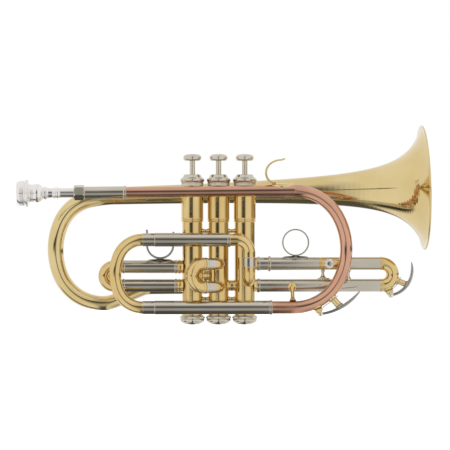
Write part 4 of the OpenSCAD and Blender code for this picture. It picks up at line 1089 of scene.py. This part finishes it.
def glow(azimuth, elevation):
    """Brightness of the studio in directions given in degrees. Azimuth 0 is towards -Y, 90 towards +X."""
    a, e = np.radians(azimuth), np.radians(elevation)
    upright = np.degrees(np.arctan2(np.sin(e), np.cos(e) * np.cos(a)))
    sideways = np.degrees(np.arcsin(np.clip(np.cos(e) * np.sin(a), -1, 1)))
    front = lit(lit(lit(ROOM, upright, CEILING_BOX), upright, LOW_STRIP), upright, BACKDROP_FOOT)
    front = lit(front, sideways, BELL_CARD)

    boards = lit(lit(SIDE_WALLS, azimuth, CAMERA_FLAG), azimuth, REAR_SCREEN)
    walls = lit(SIDE_WALLS, azimuth, CAMERA_GAP)
    at_eye_level = band(elevation, *EYE_LEVEL)
    side = walls + (boards - walls) * at_eye_level
    below = np.clip((FLOOR_SHADE_TOP - elevation) / FLOOR_SHADE_FALL, 0, 1)
    bell_side = np.clip((sideways + FLOOR_SHADE_EDGE) / FLOOR_SHADE_EDGE, 0, 1)
    floor_shade = FLOOR_SHADE * below * bell_side
    side *= 1 - floor_shade
    on_board = band(sideways, *FLOOR_BOARD_SPAN)
    side += (lit(side, upright, FLOOR_BOARD) - side) * on_board

    middle_of_room = np.exp(-(sideways / np.where(sideways < 0, *ROOM_REACH)) ** 4)
    middle_of_room = np.where(np.abs(azimuth) > 90, middle_of_room * (1 - at_eye_level), middle_of_room)
    return front * middle_of_room + side * (1 - middle_of_room)


def studio():
    world = bpy.data.worlds.new("white_studio")
    bpy.context.scene.world = world
    world.use_nodes = True
    world.node_tree.nodes["Background"].inputs["Color"].default_value = (1, 1, 1, 1)
    world.node_tree.nodes["Background"].inputs["Strength"].default_value = 1.0

    radius, columns, rows = 6.0, 360, 180
    elevations, azimuths = np.meshgrid(np.linspace(-90, 90, rows + 1), np.arange(columns) - 180.0,
                                       indexing="ij")
    elevations, azimuths = elevations.ravel(), azimuths.ravel()
    e, a = np.radians(elevations), np.radians(azimuths)
    points = radius * np.column_stack([np.cos(e) * np.sin(a), -np.cos(e) * np.cos(a), np.sin(e)])
    light = glow(azimuths, elevations)
    colours = np.column_stack([light, light, light, np.ones_like(light)]).ravel()
    faces = []
    for i in range(rows):
        for j in range(columns):
            k = (j + 1) % columns
            a, b = i * columns, (i + 1) * columns
            faces.append((a + j, b + j, b + k, a + k))
    mesh = bpy.data.meshes.new("light_dome")
    mesh.from_pydata(points.tolist(), [], faces)
    mesh.color_attributes.new("glow", "FLOAT_COLOR", "POINT").data.foreach_set("color", colours)
    dome = bpy.data.objects.new("light_dome", mesh)
    bpy.context.scene.collection.objects.link(dome)
    material = bpy.data.materials.new("dome_light")
    material.use_nodes = True
    tree = material.node_tree
    tree.nodes.clear()
    attribute = tree.nodes.new("ShaderNodeAttribute")
    attribute.attribute_name = "glow"
    emission = tree.nodes.new("ShaderNodeEmission")
    output = tree.nodes.new("ShaderNodeOutputMaterial")
    link(tree, attribute, "Color", emission, "Color")
    link(tree, emission, "Emission", output, "Surface")
    mesh.materials.append(material)
    dome.visible_camera = False

    floor_mesh = bpy.data.meshes.new("studio_floor")
    floor_r, floor_z, sides = 5.5, -0.25, 96
    floor_mesh.from_pydata([(floor_r * math.cos(2 * math.pi * k / sides),
                             floor_r * math.sin(2 * math.pi * k / sides),
                             floor_z) for k in range(sides)], [], [tuple(range(sides))])
    floor = bpy.data.objects.new("studio_floor", floor_mesh)
    bpy.context.scene.collection.objects.link(floor)
    material, tree, bsdf = shader("pale_floor")
    bsdf.inputs["Base Color"].default_value = (0.86, 0.86, 0.86, 1)
    bsdf.inputs["Roughness"].default_value = 0.9
    bsdf.inputs["Emission Color"].default_value = (1, 1, 1, 1)
    bsdf.inputs["Emission Strength"].default_value = 0.6
    floor_mesh.materials.append(material)
    floor.visible_glossy = False


def camera():
    """The camera looks level at the middle of the valves from a little to the mouthpiece side."""
    distance, azimuth, width = 2.2, math.radians(2), 0.4248
    aim = Vector((0.0061, 0, 0.0236))
    data = bpy.data.cameras.new("camera")
    data.sensor_width = 36
    data.lens = data.sensor_width * distance / width
    obj = bpy.data.objects.new("camera", data)
    bpy.context.scene.collection.objects.link(obj)
    obj.location = aim - distance * Vector((math.sin(azimuth), math.cos(azimuth), 0))
    obj.rotation_euler = (math.radians(90), 0, -azimuth)
    data.clip_start, data.clip_end = 0.1, 50
    bpy.context.scene.camera = obj
    bpy.context.scene.view_settings.view_transform = "Standard"


mouthpiece()
receiver()
leadpipe()
front_bow()
tuning_slide()
valve_inlet()
casings()
caps()
buttons()
valve_links()
first_slide()
thumb_saddle()
second_slide()
slide_up_z, slide_low_z, slide_span = third_slide()
finger_ring()
bell()
bell_tail()
pinky_hook()
tube_braces(slide_low_z, slide_span)
water_keys(slide_up_z, slide_low_z)
studio()
camera()
